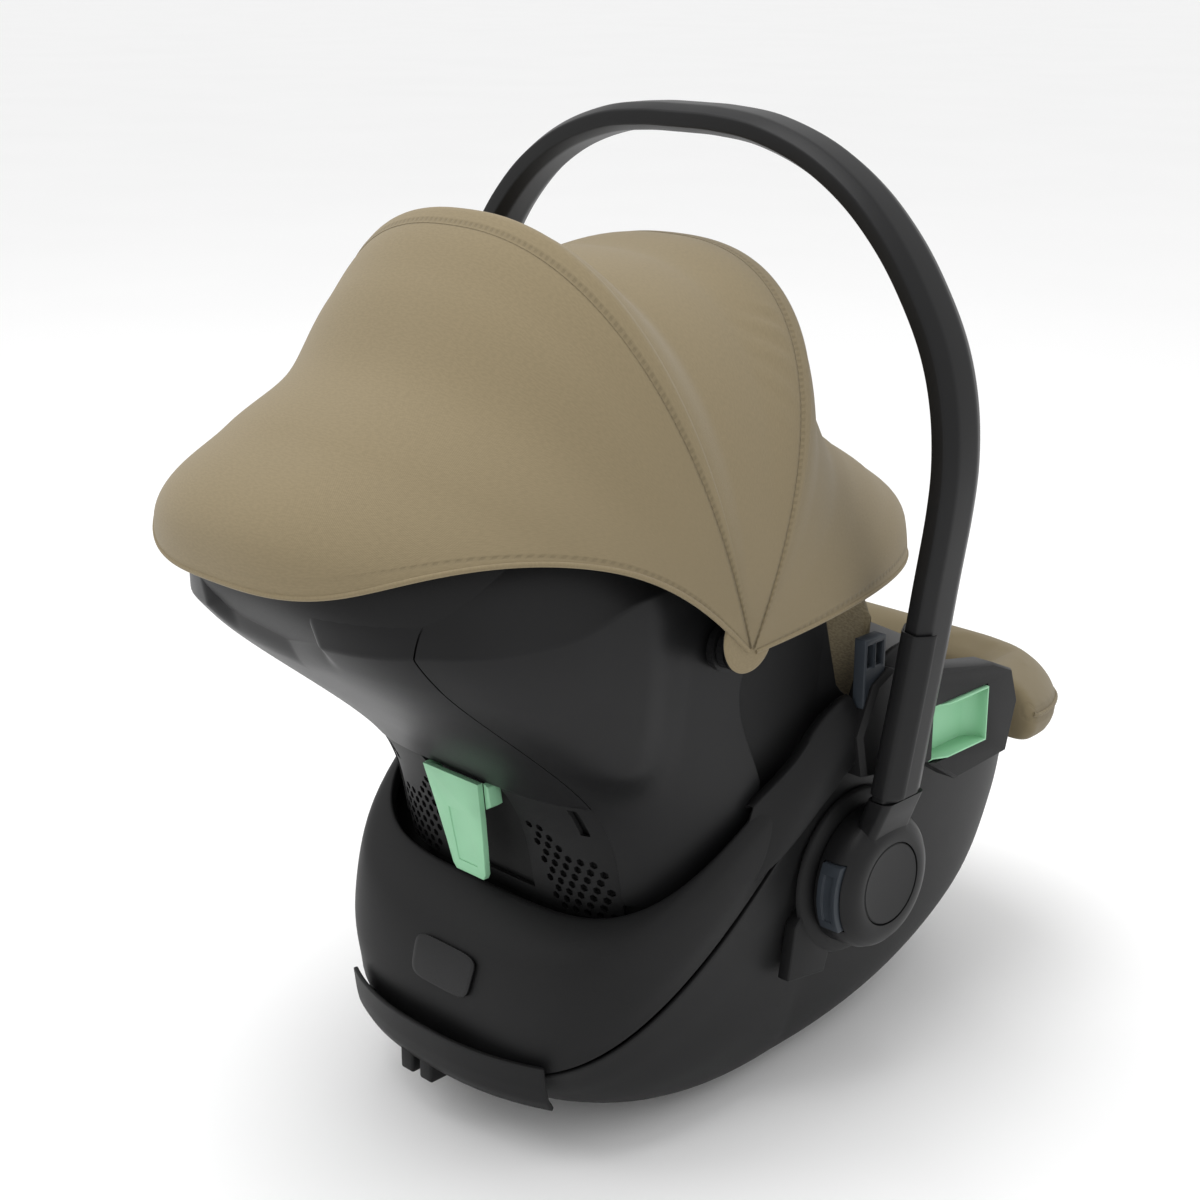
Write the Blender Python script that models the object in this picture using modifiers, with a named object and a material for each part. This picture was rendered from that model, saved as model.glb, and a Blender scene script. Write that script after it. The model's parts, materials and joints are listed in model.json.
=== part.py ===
"""Infant car seat: a portable carrier with a carry handle, a folding canopy and a harness.

Frame: X across the seat, +Y towards the head end, +Z up. The ground is z = 0 and the
carry handle turns about the line y = 0, z = HUB_Z. The seat is symmetric about x = 0,
and a sign of +1 is the child's left.
"""

import math

import bmesh
import bpy
from mathutils import Matrix, Vector

# ---- Driving dimensions, metres ----
GAP = 0.0004                 # between faces that touch
WALL = 0.0028                # moulded shells
TUB_WALL = 0.0025
PANEL_OUT = 0.0062           # outer face of the panels, outside the tub
HUB_Z = 0.150                # height of the handle's axis
HUB_RADIUS = 0.046
HUB_INNER_X = 0.1460         # inner face of the fixed hub housing
HUB_JOINT_X = 0.1525         # seam between fixed housing and turning head
HUB_FACE_X = 0.1780
CAP_RADIUS = 0.0270
PIN_RADIUS = 0.0060
HANDLE_TOP = 0.461           # centre of the arch above the axis
HANDLE_HALF_WIDTH = 0.208
HANDLE_DEPTH = 0.036         # front to back
HANDLE_THICK = 0.0175
LEG_START_Z = 0.062          # above the axis, where the leg leaves the hub head
BUTTON_TRAVEL = 0.003
FOAM = 0.014
COVER = 0.008                # padded seat cover
COVER_GAP = 0.0016           # loose fit of the cover on the foam
CANOPY_PIVOT_Y = 0.130
CANOPY_PIVOT_Z = 0.335
CANOPY_HALF_WIDTH = 0.168
CANOPY_CLOTH = 0.0025
REAR_BOW_ANGLE = 14.0        # degrees behind vertical
FRONT_BOW_ANGLE = -31.0
VISOR_ANGLE = -78.0
BOW_RADIUS = 0.0025
HEM_RADIUS = 0.012           # cloth starts this far from the canopy pivot
GUIDE_WALL = 0.003
CLIP_TRAVEL = 0.006
BELT_HOOK_WIDTH = 0.050
BUMPER_HALF_WIDTH = 0.090
FOOT_ROLL = 0.033             # height of the roll over the foot rim
RUNNER_X = 0.062
RUNNER_WIDTH = 0.022
STRAP_WIDTH = 0.036
STRAP_THICK = 0.0015

# Shell profiles: (reach, height) from the middle of the floor up to the rim, one for
# the side, one for the head end and one for the foot end. Reach at the ends is from
# the profile's own centre line, y = centre.
BASE = {
    "centre": 0.030, "square": [2.5, 2.7, 3.2, 3.4],
    "side": [(0, 0.008), (0.085, 0.008), (0.112, 0.020), (0.130, 0.070), (0.1395, 0.148), (0.1465, 0.2215)],
    "head": [(0, 0.008), (0.095, 0.008), (0.135, 0.014), (0.165, 0.028), (0.184, 0.042), (0.193, 0.0565)],
    "foot": [(0, 0.008), (0.125, 0.008), (0.205, 0.026), (0.264, 0.062), (0.290, 0.114), (0.295, 0.174)],
    "rise_head": 0.55, "rise_foot": 1.5,
}
COLLAR = {
    "centre": 0.030, "square": [3.3, 3.5, 3.9, 4.2],
    "side": [(0.1470, 0.2230), (0.1505, 0.231), (0.1495, 0.242), (0.1440, 0.250), (0.1400, 0.246)],
    "head": [(0.1940, 0.0580), (0.1935, 0.090), (0.1800, 0.130), (0.1550, 0.153), (0.1480, 0.148)],
    "foot": [(0.1940, 0.0580), (0.1935, 0.090), (0.1800, 0.130), (0.1550, 0.153), (0.1480, 0.148)],
    "rise_head": 0.6, "rise_foot": 1.0,
}
TUB = {
    "centre": 0.030, "square": [2.6, 3.6, 4.0, 3.4, 3.2, 2.6],
    "side": [(0, 0.030), (0.075, 0.032), (0.105, 0.062), (0.1225, 0.138), (0.1310, 0.205), (0.1360, 0.255),
             (0.1395, 0.290), (0.1420, 0.325)],
    "head": [(0, 0.030), (0.085, 0.032), (0.115, 0.062), (0.136, 0.148), (0.168, 0.238), (0.298, 0.354),
             (0.321, 0.402), (0.292, 0.450)],
    "foot": [(0, 0.030), (0.090, 0.034), (0.150, 0.065), (0.210, 0.108), (0.252, 0.140), (0.276, 0.164),
             (0.284, 0.180), (0.282, 0.194)],
    "rise_head": 0.55, "rise_foot": 0.26,
}
SEAT = {
    "centre": -0.020, "square": [2.5, 2.7, 2.7],
    "side": [(0, 0.075), (0.062, 0.078), (0.096, 0.102), (0.110, 0.155), (0.119, 0.220), (0.125, 0.275),
             (0.129, 0.312)],
    "head": [(0, 0.075), (0.048, 0.100), (0.108, 0.155), (0.186, 0.234), (0.262, 0.312), (0.318, 0.376),
             (0.324, 0.426)],
    "foot": [(0, 0.075), (0.058, 0.079), (0.108, 0.094), (0.152, 0.116), (0.190, 0.140), (0.214, 0.162),
             (0.224, 0.182)],
    "rise_head": 0.6, "rise_foot": 0.8,
}

# Canopy rib radius by angle behind vertical, and how square each rib is.
RIB_ANGLES = [-90.0, -77.0, -60.0, -45.0, -31.0, -15.0, 2.0, 14.0, 25.0, 40.0, 55.0, 70.0, 77.0]
RIB_RADII = [0.270, 0.252, 0.209, 0.211, 0.236, 0.211, 0.206, 0.241, 0.224, 0.205, 0.225, 0.256, 0.247]
RIB_SQUARE = 2.35
HEM_ANGLE_BACK = 76.0
HEM_ANGLE_SIDE = 46.0

COLOURS = {
    "shell_black": ((0.022, 0.022, 0.023), 0.50, 0.0),
    "satin_black": ((0.028, 0.028, 0.029), 0.38, 0.0),
    "button_grey": ((0.060, 0.066, 0.075), 0.45, 0.0),
    "belt_green": ((0.33, 0.62, 0.39), 0.42, 0.0),
    "foam_grey": ((0.24, 0.24, 0.24), 0.85, 0.0),
    "khaki_canopy": ((0.31, 0.25, 0.145), 0.90, 0.0),
    "khaki_melange": ((0.25, 0.205, 0.115), 0.95, 0.0),
    "webbing_grey": ((0.05, 0.05, 0.052), 0.80, 0.0),
    "buckle_red": ((0.55, 0.03, 0.03), 0.40, 0.0),
    "foot_rubber": ((0.018, 0.018, 0.018), 0.75, 0.0),
    "steel": ((0.55, 0.56, 0.57), 0.30, 1.0),
    "badge_grey": ((0.045, 0.045, 0.047), 0.35, 0.0),
}
SIDES = (("left", 1), ("right", -1))


# ---- Scene and material helpers ----
def clear_scene():
    for thing in list(bpy.data.objects):
        bpy.data.objects.remove(thing, do_unlink=True)


def collection(name):
    made = bpy.data.collections.new(name)
    bpy.context.scene.collection.children.link(made)
    return made


def material(name):
    if name in bpy.data.materials:
        return bpy.data.materials[name]
    colour, roughness, metallic = COLOURS[name]
    made = bpy.data.materials.new(name)
    made.use_nodes = True
    shader = made.node_tree.nodes["Principled BSDF"]
    shader.inputs["Base Color"].default_value = (*colour, 1)
    shader.inputs["Roughness"].default_value = roughness
    shader.inputs["Metallic"].default_value = metallic
    return made


def place(name, mesh, finish):
    made = bpy.data.objects.new(name, mesh)
    PARTS.objects.link(made)
    mesh.materials.append(material(finish))
    return made


def cutter(name, mesh):
    made = bpy.data.objects.new(name, mesh)
    CUTTERS.objects.link(made)
    made.hide_render = True
    made.display_type = "WIRE"
    return made


def boolean(target, tool, operation="DIFFERENCE"):
    step = target.modifiers.new(operation.title(), "BOOLEAN")
    step.operation = operation
    step.object = tool


def bevel(target, width, segments=2, angle=35):
    step = target.modifiers.new("Bevel", "BEVEL")
    step.width = width
    step.segments = segments
    step.limit_method = "ANGLE"
    step.angle_limit = math.radians(angle)
    return target


def smooth(mesh, angle=35):
    mesh.shade_smooth()
    mesh.set_sharp_from_angle(angle=math.radians(angle))
    return mesh


def mesh_from(bm, name):
    mesh = bpy.data.meshes.new(name)
    bm.to_mesh(mesh)
    bm.free()
    return smooth(mesh)


# ---- Shapes ----
def box_mesh(name, low, high):
    bm = bmesh.new()
    bmesh.ops.create_cube(bm, size=1)
    size = [high[i] - low[i] for i in range(3)]
    middle = [(high[i] + low[i]) / 2 for i in range(3)]
    bmesh.ops.scale(bm, vec=size, verts=bm.verts)
    bmesh.ops.translate(bm, vec=middle, verts=bm.verts)
    return mesh_from(bm, name)


def side_box(sign, x, y, z):
    """Lowest and highest corners of a box given for the child's left, on either side."""
    reach = sorted((sign * x[0], sign * x[1]))
    return (reach[0], y[0], z[0]), (reach[1], y[1], z[1])


def cylinder_mesh(name, start, end, radius, sides=24, end_radius=None):
    start = Vector(start)
    along = Vector(end) - start
    bm = bmesh.new()
    far = radius if end_radius is None else end_radius
    bmesh.ops.create_cone(bm, cap_ends=True, segments=sides, radius1=radius, radius2=far, depth=along.length)
    turn = Vector((0, 0, 1)).rotation_difference(along).to_matrix().to_4x4()
    bmesh.ops.transform(bm, matrix=Matrix.Translation(start + along / 2) @ turn, verts=bm.verts)
    return mesh_from(bm, name)


def turned(name, profile, finish, sign, steps=24):
    """A turned piece about the hub's axis. profile is (radius, x), outer side first."""
    bm = bmesh.new()
    points = [bm.verts.new((radius, 0, x)) for radius, x in profile]
    for first, second in zip(points, points[1:]):
        bm.edges.new((first, second))
    if profile[0][0] > 0:
        bm.edges.new((points[-1], points[0]))
    mesh = bpy.data.meshes.new(name)
    bm.to_mesh(mesh)
    bm.free()
    made = place(name, mesh, finish)
    step = made.modifiers.new("Screw", "SCREW")
    step.steps = steps
    step.render_steps = steps
    step.use_merge_vertices = True
    step.merge_threshold = 0.00005
    step.use_smooth_shade = True
    made.rotation_euler = (0, sign * math.radians(90), 0)
    return made


def loft_mesh(name, rings, closed=False):
    """Quads between rings of the same number of points, with both ends filled."""
    bm = bmesh.new()
    rows = [[bm.verts.new(point) for point in ring] for ring in rings]
    pairs = list(zip(rows, rows[1:]))
    if closed:
        pairs.append((rows[-1], rows[0]))
    count = len(rows[0])
    for low, high in pairs:
        for i in range(count):
            j = (i + 1) % count
            bm.faces.new((low[i], low[j], high[j], high[i]))
    if not closed:
        bm.faces.new(list(reversed(rows[0])))
        bm.faces.new(rows[-1])
    bmesh.ops.recalc_face_normals(bm, faces=bm.faces)
    return mesh_from(bm, name)


def sheet_mesh(name, rows, ring=False, pole=False):
    """An open surface through rows of points, first row lowest, ready for Solidify."""
    bm = bmesh.new()
    grid = [[bm.verts.new(point) for point in row] for row in rows]
    count = len(grid[0])
    last = count if ring else count - 1
    for low, high in zip(grid, grid[1:]):
        for i in range(last):
            j = (i + 1) % count
            bm.faces.new((low[i], low[j], high[j], high[i]))
    if pole:
        bm.faces.new(list(reversed(grid[0])))
    return mesh_from(bm, name)


def shell(name, rows, thickness, finish, ring=False, pole=False):
    """A wall of the given thickness inside the surface through rows."""
    made = place(name, sheet_mesh(name, rows, ring, pole), finish)
    step = made.modifiers.new("Wall", "SOLIDIFY")
    step.thickness = thickness
    step.offset = -1
    step.use_even_offset = True
    return made


def wall_mesh(name, outer, inner, ring=False):
    """A closed wall between two surfaces of the same rows, lowest first."""
    bm = bmesh.new()
    skins = [[[bm.verts.new(point) for point in row] for row in rows] for rows in (outer, inner)]
    count = len(outer[0])
    last = count if ring else count - 1

    def face(*corners):
        bm.faces.new(corners)

    for a, b, c, d in zip(skins[0], skins[0][1:], skins[1], skins[1][1:]):
        for i in range(last):
            j = (i + 1) % count
            face(a[i], a[j], b[j], b[i])
            face(c[j], c[i], d[i], d[j])
    for i in range(last):
        j = (i + 1) % count
        face(skins[0][-1][i], skins[0][-1][j], skins[1][-1][j], skins[1][-1][i])
        if not ring:
            face(skins[0][0][j], skins[0][0][i], skins[1][0][i], skins[1][0][j])
    if ring:
        for row in (skins[0][0], skins[1][0]):
            middle = bm.verts.new(sum((vert.co for vert in row), Vector()) / count)
            for i in range(count):
                face(row[i], middle, row[(i + 1) % count])
    else:
        for a, b, c, d in zip(skins[0], skins[0][1:], skins[1], skins[1][1:]):
            face(a[0], b[0], d[0], c[0])
            face(b[-1], a[-1], c[-1], d[-1])
    bmesh.ops.recalc_face_normals(bm, faces=bm.faces)
    return mesh_from(bm, name)


# ---- Curves and surfaces ----
def sample(values, t):
    """A smooth value at t, 0 to 1, through evenly spaced control values."""
    spans = len(values) - 1
    at = min(max(t, 0.0), 1.0) * spans
    i = min(int(at), spans - 1)
    u = at - i
    p1, p2 = values[i], values[i + 1]
    p0 = values[i - 1] if i > 0 else 2 * p1 - p2
    p3 = values[i + 2] if i + 2 <= spans else 2 * p2 - p1
    m1, m2 = (p2 - p0) / 2, (p3 - p1) / 2
    return ((2 * u**3 - 3 * u**2 + 1) * p1 + (u**3 - 2 * u**2 + u) * m1
            + (3 * u**2 - 2 * u**3) * p2 + (u**3 - u**2) * m2)


def profile_at(points, t, inward=0.0):
    """Reach and height on a profile at t, moved inward along its normal."""
    reach = [point[0] for point in points]
    height = [point[1] for point in points]
    r, h = sample(reach, t), sample(height, t)
    step = 0.01
    dr = sample(reach, t + step) - sample(reach, t - step)
    dh = sample(height, t + step) - sample(height, t - step)
    length = math.hypot(dr, dh)
    return max(r - inward * dh / length, 0.0), h + inward * dr / length


def power(value, exponent):
    return math.copysign(abs(value) ** exponent, value)


def shell_point(form, t, angle, inward=0.0):
    """A point on a shell form: t from floor to rim, angle in degrees from +X towards +Y."""
    c, s = math.cos(math.radians(angle)), math.sin(math.radians(angle))
    end, rise = ("head", form["rise_head"]) if s >= 0 else ("foot", form["rise_foot"])
    side_reach, side_height = profile_at(form["side"], t, inward)
    end_reach, end_height = profile_at(form[end], t, inward)
    bend = 2 / sample(form["square"], t)
    weight = abs(s) ** rise
    return Vector((
        side_reach * power(c, bend),
        form["centre"] + end_reach * power(s, bend),
        side_height + (end_height - side_height) * weight,
    ))


def shell_angle(form, t, x, inward=0.0):
    """The angle at which a shell form reaches x, on the head side."""
    reach = profile_at(form["side"], t, inward)[0]
    return math.degrees(math.acos(power(x / reach, sample(form["square"], t) / 2)))


def shell_rows(form, levels, angles, inward=0.0):
    return [[shell_point(form, t, angle, inward) for angle in angles] for t in levels]


def steps(start, end, count):
    return [start + (end - start) * i / (count - 1) for i in range(count)]


def full_turn(count):
    return [360.0 * (i + 0.5) / count for i in range(count)]


def seat_line(t, lift, x=0.0, edge=0.0):
    """A point over the cover at x: t from -1 at the foot to 1 at the head. A piece that
    reaches edge further out from x is lifted clear of the curved side there."""
    inward = FOAM + COVER + 2 * GAP + lift
    angle = shell_angle(SEAT, abs(t), abs(x) + edge, inward)
    point = shell_point(SEAT, abs(t), math.copysign(angle, t), inward)
    point.x = x
    return point


def ribbon_rings(centres, width, thickness):
    """Rectangles across X along a path in a plane of constant x."""
    rings = []
    for i, centre in enumerate(centres):
        ahead = centres[min(i + 1, len(centres) - 1)] - centres[max(i - 1, 0)]
        normal = Vector((0, -ahead.z, ahead.y)).normalized()
        across = Vector((width / 2, 0, 0))
        up = normal * thickness / 2
        rings.append([centre - across - up, centre + across - up, centre + across + up, centre - across + up])
    return rings


def tube_rings(centres, radius, sides=8):
    rings = []
    for i, centre in enumerate(centres):
        ahead = (centres[min(i + 1, len(centres) - 1)] - centres[max(i - 1, 0)]).normalized()
        first = ahead.orthogonal().normalized() if i == 0 else (first - ahead * first.dot(ahead)).normalized()
        second = ahead.cross(first)
        turn = [2 * math.pi * k / sides for k in range(sides)]
        rings.append([centre + (first * math.cos(a) + second * math.sin(a)) * radius for a in turn])
    return rings


# ---- Lower shell and what is fixed to it ----
def make_lower_shell():
    rows = shell_rows(BASE, steps(0.2, 1.0, 9), full_turn(32))
    made = shell("lower_shell", rows, WALL, "shell_black", ring=True, pole=True)
    for _, sign in SIDES:
        hole = cylinder_mesh("pin_hole", (sign * 0.12, 0, HUB_Z), (sign * 0.16, 0, HUB_Z), PIN_RADIUS + GAP, 16)
        boolean(made, cutter("pin_hole", hole))


def make_collar():
    rows = shell_rows(COLLAR, steps(0, 1, 8), steps(2, 178, 29))
    shell("collar_band", rows, 0.0024, "shell_black")


def make_sole():
    """Two skids and a bridge between them, with one flat sole that the seat stands on."""
    top = BASE["side"][0][1] - GAP
    outline = [(-0.112, top), (-0.105, 0.002), (-0.095, 0), (0.112, 0), (0.120, 0.002), (0.126, top)]
    made = None
    for side, sign in SIDES:
        x0, x1 = sorted((sign * (RUNNER_X - RUNNER_WIDTH / 2), sign * (RUNNER_X + RUNNER_WIDTH / 2)))
        skid = loft_mesh("skid", [[Vector((x, y, z)) for y, z in outline] for x in (x0, x1)])
        if made is None:
            made = place("base_sole", skid, "foot_rubber")
        else:
            boolean(made, cutter(f"skid_{side}", skid), "UNION")
    bridge = box_mesh("bridge", (-RUNNER_X, -0.014, 0), (RUNNER_X, 0.014, top))
    boolean(made, cutter("bridge", bridge), "UNION")


def make_bumper():
    """Curved ledge behind the base that rests against the vehicle seat or a dock."""
    rows = []
    for height, out in ((0.042, 0.000), (0.049, 0.004), (0.058, 0.006), (0.074, 0.008)):
        row = []
        for u in steps(1, -1, 13):
            bow = 0.2125 + 0.0185 * (1 - abs(u) ** 2.4)
            row.append(Vector((u * BUMPER_HALF_WIDTH, bow + out, height)))
        rows.append(row)
    shell("rear_bumper", rows, 0.003, "shell_black")


# ---- Seat shells ----
def nested_shell(name, form, levels, outside, inside, finish, columns=36):
    """A whole bowl between two depths below a shell form."""
    outer = shell_rows(form, levels, full_turn(columns), outside)
    inner = shell_rows(form, levels, full_turn(columns), inside)
    return place(name, wall_mesh(name, outer, inner, ring=True), finish)


def make_tub():
    levels = [0.14, 0.24, 0.34, 0.44, 0.53, 0.58, 0.63, 0.69, 0.76, 0.84, 0.92, 1.0]
    nested_shell("seat_tub", TUB, levels, 0.0, TUB_WALL, "shell_black", 32)


def panel(name, t_low, t_high, levels, angles, low, high):
    """A cover outside the tub, trimmed to a box from low to high."""
    outer = shell_rows(TUB, steps(t_low, t_high, levels), angles, -PANEL_OUT)
    inner = shell_rows(TUB, steps(t_low, t_high, levels), angles, WALL - PANEL_OUT)
    made = place(name, wall_mesh(name, outer, inner), "satin_black")
    keep = cutter(name + "_keep", box_mesh(name + "_keep", low, high))
    boolean(made, keep, "INTERSECT")
    return made


HEAD_SEAM_X = 0.099
LIP_Z = 0.2360


def make_head_panels():
    angles = steps(20, 160, 25)
    seam = GAP / 2
    panel("head_shell_centre", 0.53, 0.99, 8, angles,
          (-HEAD_SEAM_X + seam, 0.05, LIP_Z), (HEAD_SEAM_X - seam, 0.5, 0.6))
    for side, sign in SIDES:
        near, far = sorted((sign * (HEAD_SEAM_X + seam), sign * 0.3))
        panel(f"head_shell_{side}", 0.36, 0.99, 9, steps(8, 80, 15) if sign > 0 else steps(100, 172, 15),
              (near, 0.05, 0.165), (far, 0.5, 0.6))


def hexagon_cutters(name, sign):
    """Vent holes in rows that fill a slanted patch on one side of the rear cover."""
    bm = bmesh.new()
    pitch, radius = 0.0095, 0.0036
    for row in range(5):
        z = 0.222 - row * pitch * 0.87
        for column in range(2 + min(row, 3)):
            x = 0.052 + (column + 0.5 * (row % 2)) * pitch
            turn = Matrix.Rotation(math.radians(90), 4, "X")
            spot = Matrix.Translation((sign * x, 0.17, z))
            bmesh.ops.create_cone(bm, cap_ends=True, segments=6, radius1=radius, radius2=radius,
                                  depth=0.12, matrix=spot @ turn)
    return mesh_from(bm, name)


def make_rear_cover():
    """Upright panel between the collar and the head shell, with vents and the belt hook's pocket."""
    made = panel("rear_cover", 0.38, 0.66, 6, steps(30, 150, 19),
                 (-HEAD_SEAM_X + GAP, 0.05, 0.150), (HEAD_SEAM_X - GAP, 0.3, LIP_Z - GAP))
    for side, sign in SIDES:
        boolean(made, cutter(f"vents_{side}", hexagon_cutters("vents", sign)))
    pocket = box_mesh("pocket", (-0.036, 0.12, 0.160), (0.036, 0.26, LIP_Z + 0.01))
    boolean(made, cutter("pocket", pocket))


def make_belt_hook():
    """Green hook for the shoulder belt: a tongue hanging from a root under the head shell."""
    line = [(0.2085, LIP_Z - GAP), (0.2045, 0.2160), (0.1985, 0.1900), (0.1945, 0.1720), (0.1930, 0.1640)]
    widths = [1.0, 0.92, 0.80, 0.70, 0.48]
    centres = [Vector((0, y, z)) for y, z in line]
    rings = []
    for i, centre in enumerate(centres):
        ahead = centres[min(i + 1, len(line) - 1)] - centres[max(i - 1, 0)]
        out = Vector((0, -ahead.z, ahead.y)).normalized() * 0.0022
        across = Vector((BELT_HOOK_WIDTH / 2 * widths[i], 0, 0))
        rings.append([centre - across - out, centre + across - out, centre + across + out, centre - across + out])
    made = place("rear_belt_hook", loft_mesh("rear_belt_hook", rings), "belt_green")
    bevel(made, 0.0008, 1)


def make_badge():
    """Blank oval-cornered plate on the collar."""
    middle = shell_point(COLLAR, 0.36, 90)
    low = shell_point(COLLAR, 0.25, 90)
    lean = math.atan2(low.y - middle.y, middle.z - low.z)
    made = place("badge", box_mesh("badge", (-0.027, 0, -0.0135), (0.027, 0.0012, 0.0135)), "badge_grey")
    made.rotation_euler = (lean, 0, 0)
    made.location = middle + Vector((0, 0.0008, 0.0004))
    bevel(made, 0.0004, 1)


# ---- Rim housings, belt guides and release clips ----
HOUSING_Y = (-0.150, 0.024)
GUIDE_Y = (-0.112, -0.052)
GUIDE_Z = (0.212, 0.252)


def make_rim_housing(side, sign):
    """Block on the rim that holds the lap belt guide and the stroller release."""
    top = [(HOUSING_Y[1], 0.252), (0.010, 0.282), (-0.006, 0.290), (-0.030, 0.282), (-0.070, 0.273),
           (-0.120, 0.264), (-0.142, 0.254), (HOUSING_Y[0], 0.230)]
    bottom = [(-0.140, 0.196), (-0.084, 0.192), (-0.050, 0.214), (HOUSING_Y[1] - 0.006, 0.224)]
    outline = top + bottom
    rings = []
    for x, inset in ((0.1490, 0.0), (0.1640, 0.0), (0.1670, 0.003)):
        middle_y, middle_z = -0.06, 0.25
        ring = []
        for y, z in outline:
            pull = Vector((0, middle_y - y, middle_z - z)).normalized() * inset
            ring.append(Vector((sign * x, y, z)) + pull)
        rings.append(ring)
    made = place(f"rim_housing_{side}", loft_mesh("rim_housing", rings), "shell_black")
    pocket = box_mesh("guide_pocket", *side_box(sign, (0.1515, 0.20), (GUIDE_Y[0], GUIDE_Y[1]), GUIDE_Z))
    boolean(made, cutter(f"guide_pocket_{side}", pocket))
    slot = box_mesh("clip_slot", *side_box(sign, (0.1525, 0.1625), (-0.0045, 0.0165), (0.2420, 0.35)))
    boolean(made, cutter(f"clip_slot_{side}", slot))


def make_belt_guide(side, sign):
    """Green open pocket that the lap belt runs under, with a lip at its upper corner."""
    play = GAP
    low, high = side_box(sign, (0.1515 + play, 0.1690), (GUIDE_Y[0] + play, GUIDE_Y[1] - play),
                         (GUIDE_Z[0] + play, GUIDE_Z[1] - play))
    made = place(f"side_belt_guide_{side}", box_mesh("belt_guide", low, high), "belt_green")
    inner = side_box(sign, (0.1515 + play + GUIDE_WALL, 0.2),
                     (GUIDE_Y[0] + play + GUIDE_WALL, 0.05),
                     (GUIDE_Z[0] + play + GUIDE_WALL, GUIDE_Z[1] - play - GUIDE_WALL))
    boolean(made, cutter(f"guide_hollow_{side}", box_mesh("guide_hollow", *inner)))


def make_rim_clip(side, sign):
    """Stroller release: a window-framed catch that is pulled up out of the rim."""
    low, high = side_box(sign, (0.1529, 0.1621), (-0.0041, 0.0161), (0.2500, 0.3120))
    made = place(f"rim_clip_{side}", box_mesh("rim_clip", low, high), "button_grey")
    for index, y in enumerate(((-0.0015, 0.0048), (0.0072, 0.0135))):
        window = box_mesh("window", *side_box(sign, (0.14, 0.18), y, (0.2935, 0.3080)))
        boolean(made, cutter(f"clip_window_{side}_{index}", window))
    bevel(made, 0.0008, 1)


# ---- Handle hubs ----
def make_hub(side, sign):
    inner, seam, face = HUB_INNER_X, HUB_JOINT_X, HUB_FACE_X
    hole = PIN_RADIUS + GAP
    turned(f"hub_housing_{side}", [(0.0440, seam - GAP), (0.0475, seam - GAP - 0.001), (0.0490, inner),
                                   (hole, inner), (hole, inner + 0.0026), (0.0400, inner + 0.0026),
                                   (0.0400, seam - GAP)], "shell_black", sign).location = (0, 0, HUB_Z)
    teeth = place(f"lock_ring_{side}", lock_ring_mesh(sign, inner + 0.003, seam - 0.0008), "steel")
    teeth.location = (0, 0, HUB_Z)
    head = turned(f"hub_head_{side}", [(CAP_RADIUS + GAP, face), (0.0330, face), (0.0370, face - 0.0015),
                                       (0.0425, face - 0.0060), (0.0455, face - 0.0130),
                                       (HUB_RADIUS, seam + GAP),
                                       (hole, seam + GAP), (hole, face - 0.006), (CAP_RADIUS + GAP, face - 0.006)],
                  "satin_black", sign)
    head.location = (0, 0, HUB_Z)
    boolean(head, cutter(f"neck_{side}", neck_mesh(sign)), "UNION")
    boolean(head, cutter(f"button_pocket_{side}", arc_block(sign, 0.0352, 0.060, 0.0228, 0.1552, 0.1710)))
    bore = cylinder_mesh("spring_bore", (sign * 0.163, 0.024, HUB_Z), (sign * 0.163, 0.040, HUB_Z), 0.0038, 12)
    boolean(head, cutter(f"spring_bore_{side}", bore))
    turned(f"hub_cap_{side}", [(0, face), (CAP_RADIUS - 0.0008, face), (CAP_RADIUS, face - 0.0006),
                               (CAP_RADIUS, face - 0.0026), (0, face - 0.0026)],
           "satin_black", sign).location = (0, 0, HUB_Z)
    turned(f"pivot_pin_{side}", [(0, face - 0.0030), (PIN_RADIUS, face - 0.0030), (PIN_RADIUS, 0.1362),
                                 (0.0095, 0.1362), (0.0095, 0.1322), (0, 0.1322)],
           "steel", sign, 16).location = (0, 0, HUB_Z)


def lock_ring_mesh(sign, x0, x1):
    """Flat ring with teeth on its inner edge that the latch drops into."""
    rings = []
    for radius_kind, x in (("outer", x0), ("outer", x1), ("inner", x1), ("inner", x0)):
        ring = []
        for i in range(40):
            angle = 2 * math.pi * i / 40
            tooth = 0.0265 if i % 4 < 2 else 0.0295
            radius = 0.0385 if radius_kind == "outer" else tooth
            ring.append(Vector((sign * x, radius * math.cos(angle), radius * math.sin(angle))))
        rings.append(ring)
    return loft_mesh("lock_ring", rings, closed=True)


def arc_block(sign, inner, outer, half_height, x0, x1):
    """A curved block behind the hub's axis, between two radii, with level top and bottom."""
    heights = steps(-half_height, half_height, 9)
    outline = [(math.sqrt(inner**2 - z**2), z) for z in heights]
    outline += [(math.sqrt(outer**2 - z**2), z) for z in reversed(heights)]
    rings = [[Vector((sign * x, y, HUB_Z + z)) for y, z in outline] for x in (x0, x1)]
    return loft_mesh("arc_block", rings)


def handle_line():
    """Centre of the arch from the left leg's foot to the top middle: (x, height above the axis)."""
    return [(0.1780, LEG_START_Z), (0.1840, 0.100), (0.1920, 0.150), (0.1990, 0.200), (0.2060, 0.248),
            (HANDLE_HALF_WIDTH, 0.280), (0.2050, 0.312), (0.1965, 0.342), (0.1820, 0.370), (0.1620, 0.398),
            (0.1350, 0.424), (0.1020, 0.444), (0.0640, 0.4565), (0.0300, 0.4605), (0.0, HANDLE_TOP)]


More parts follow.
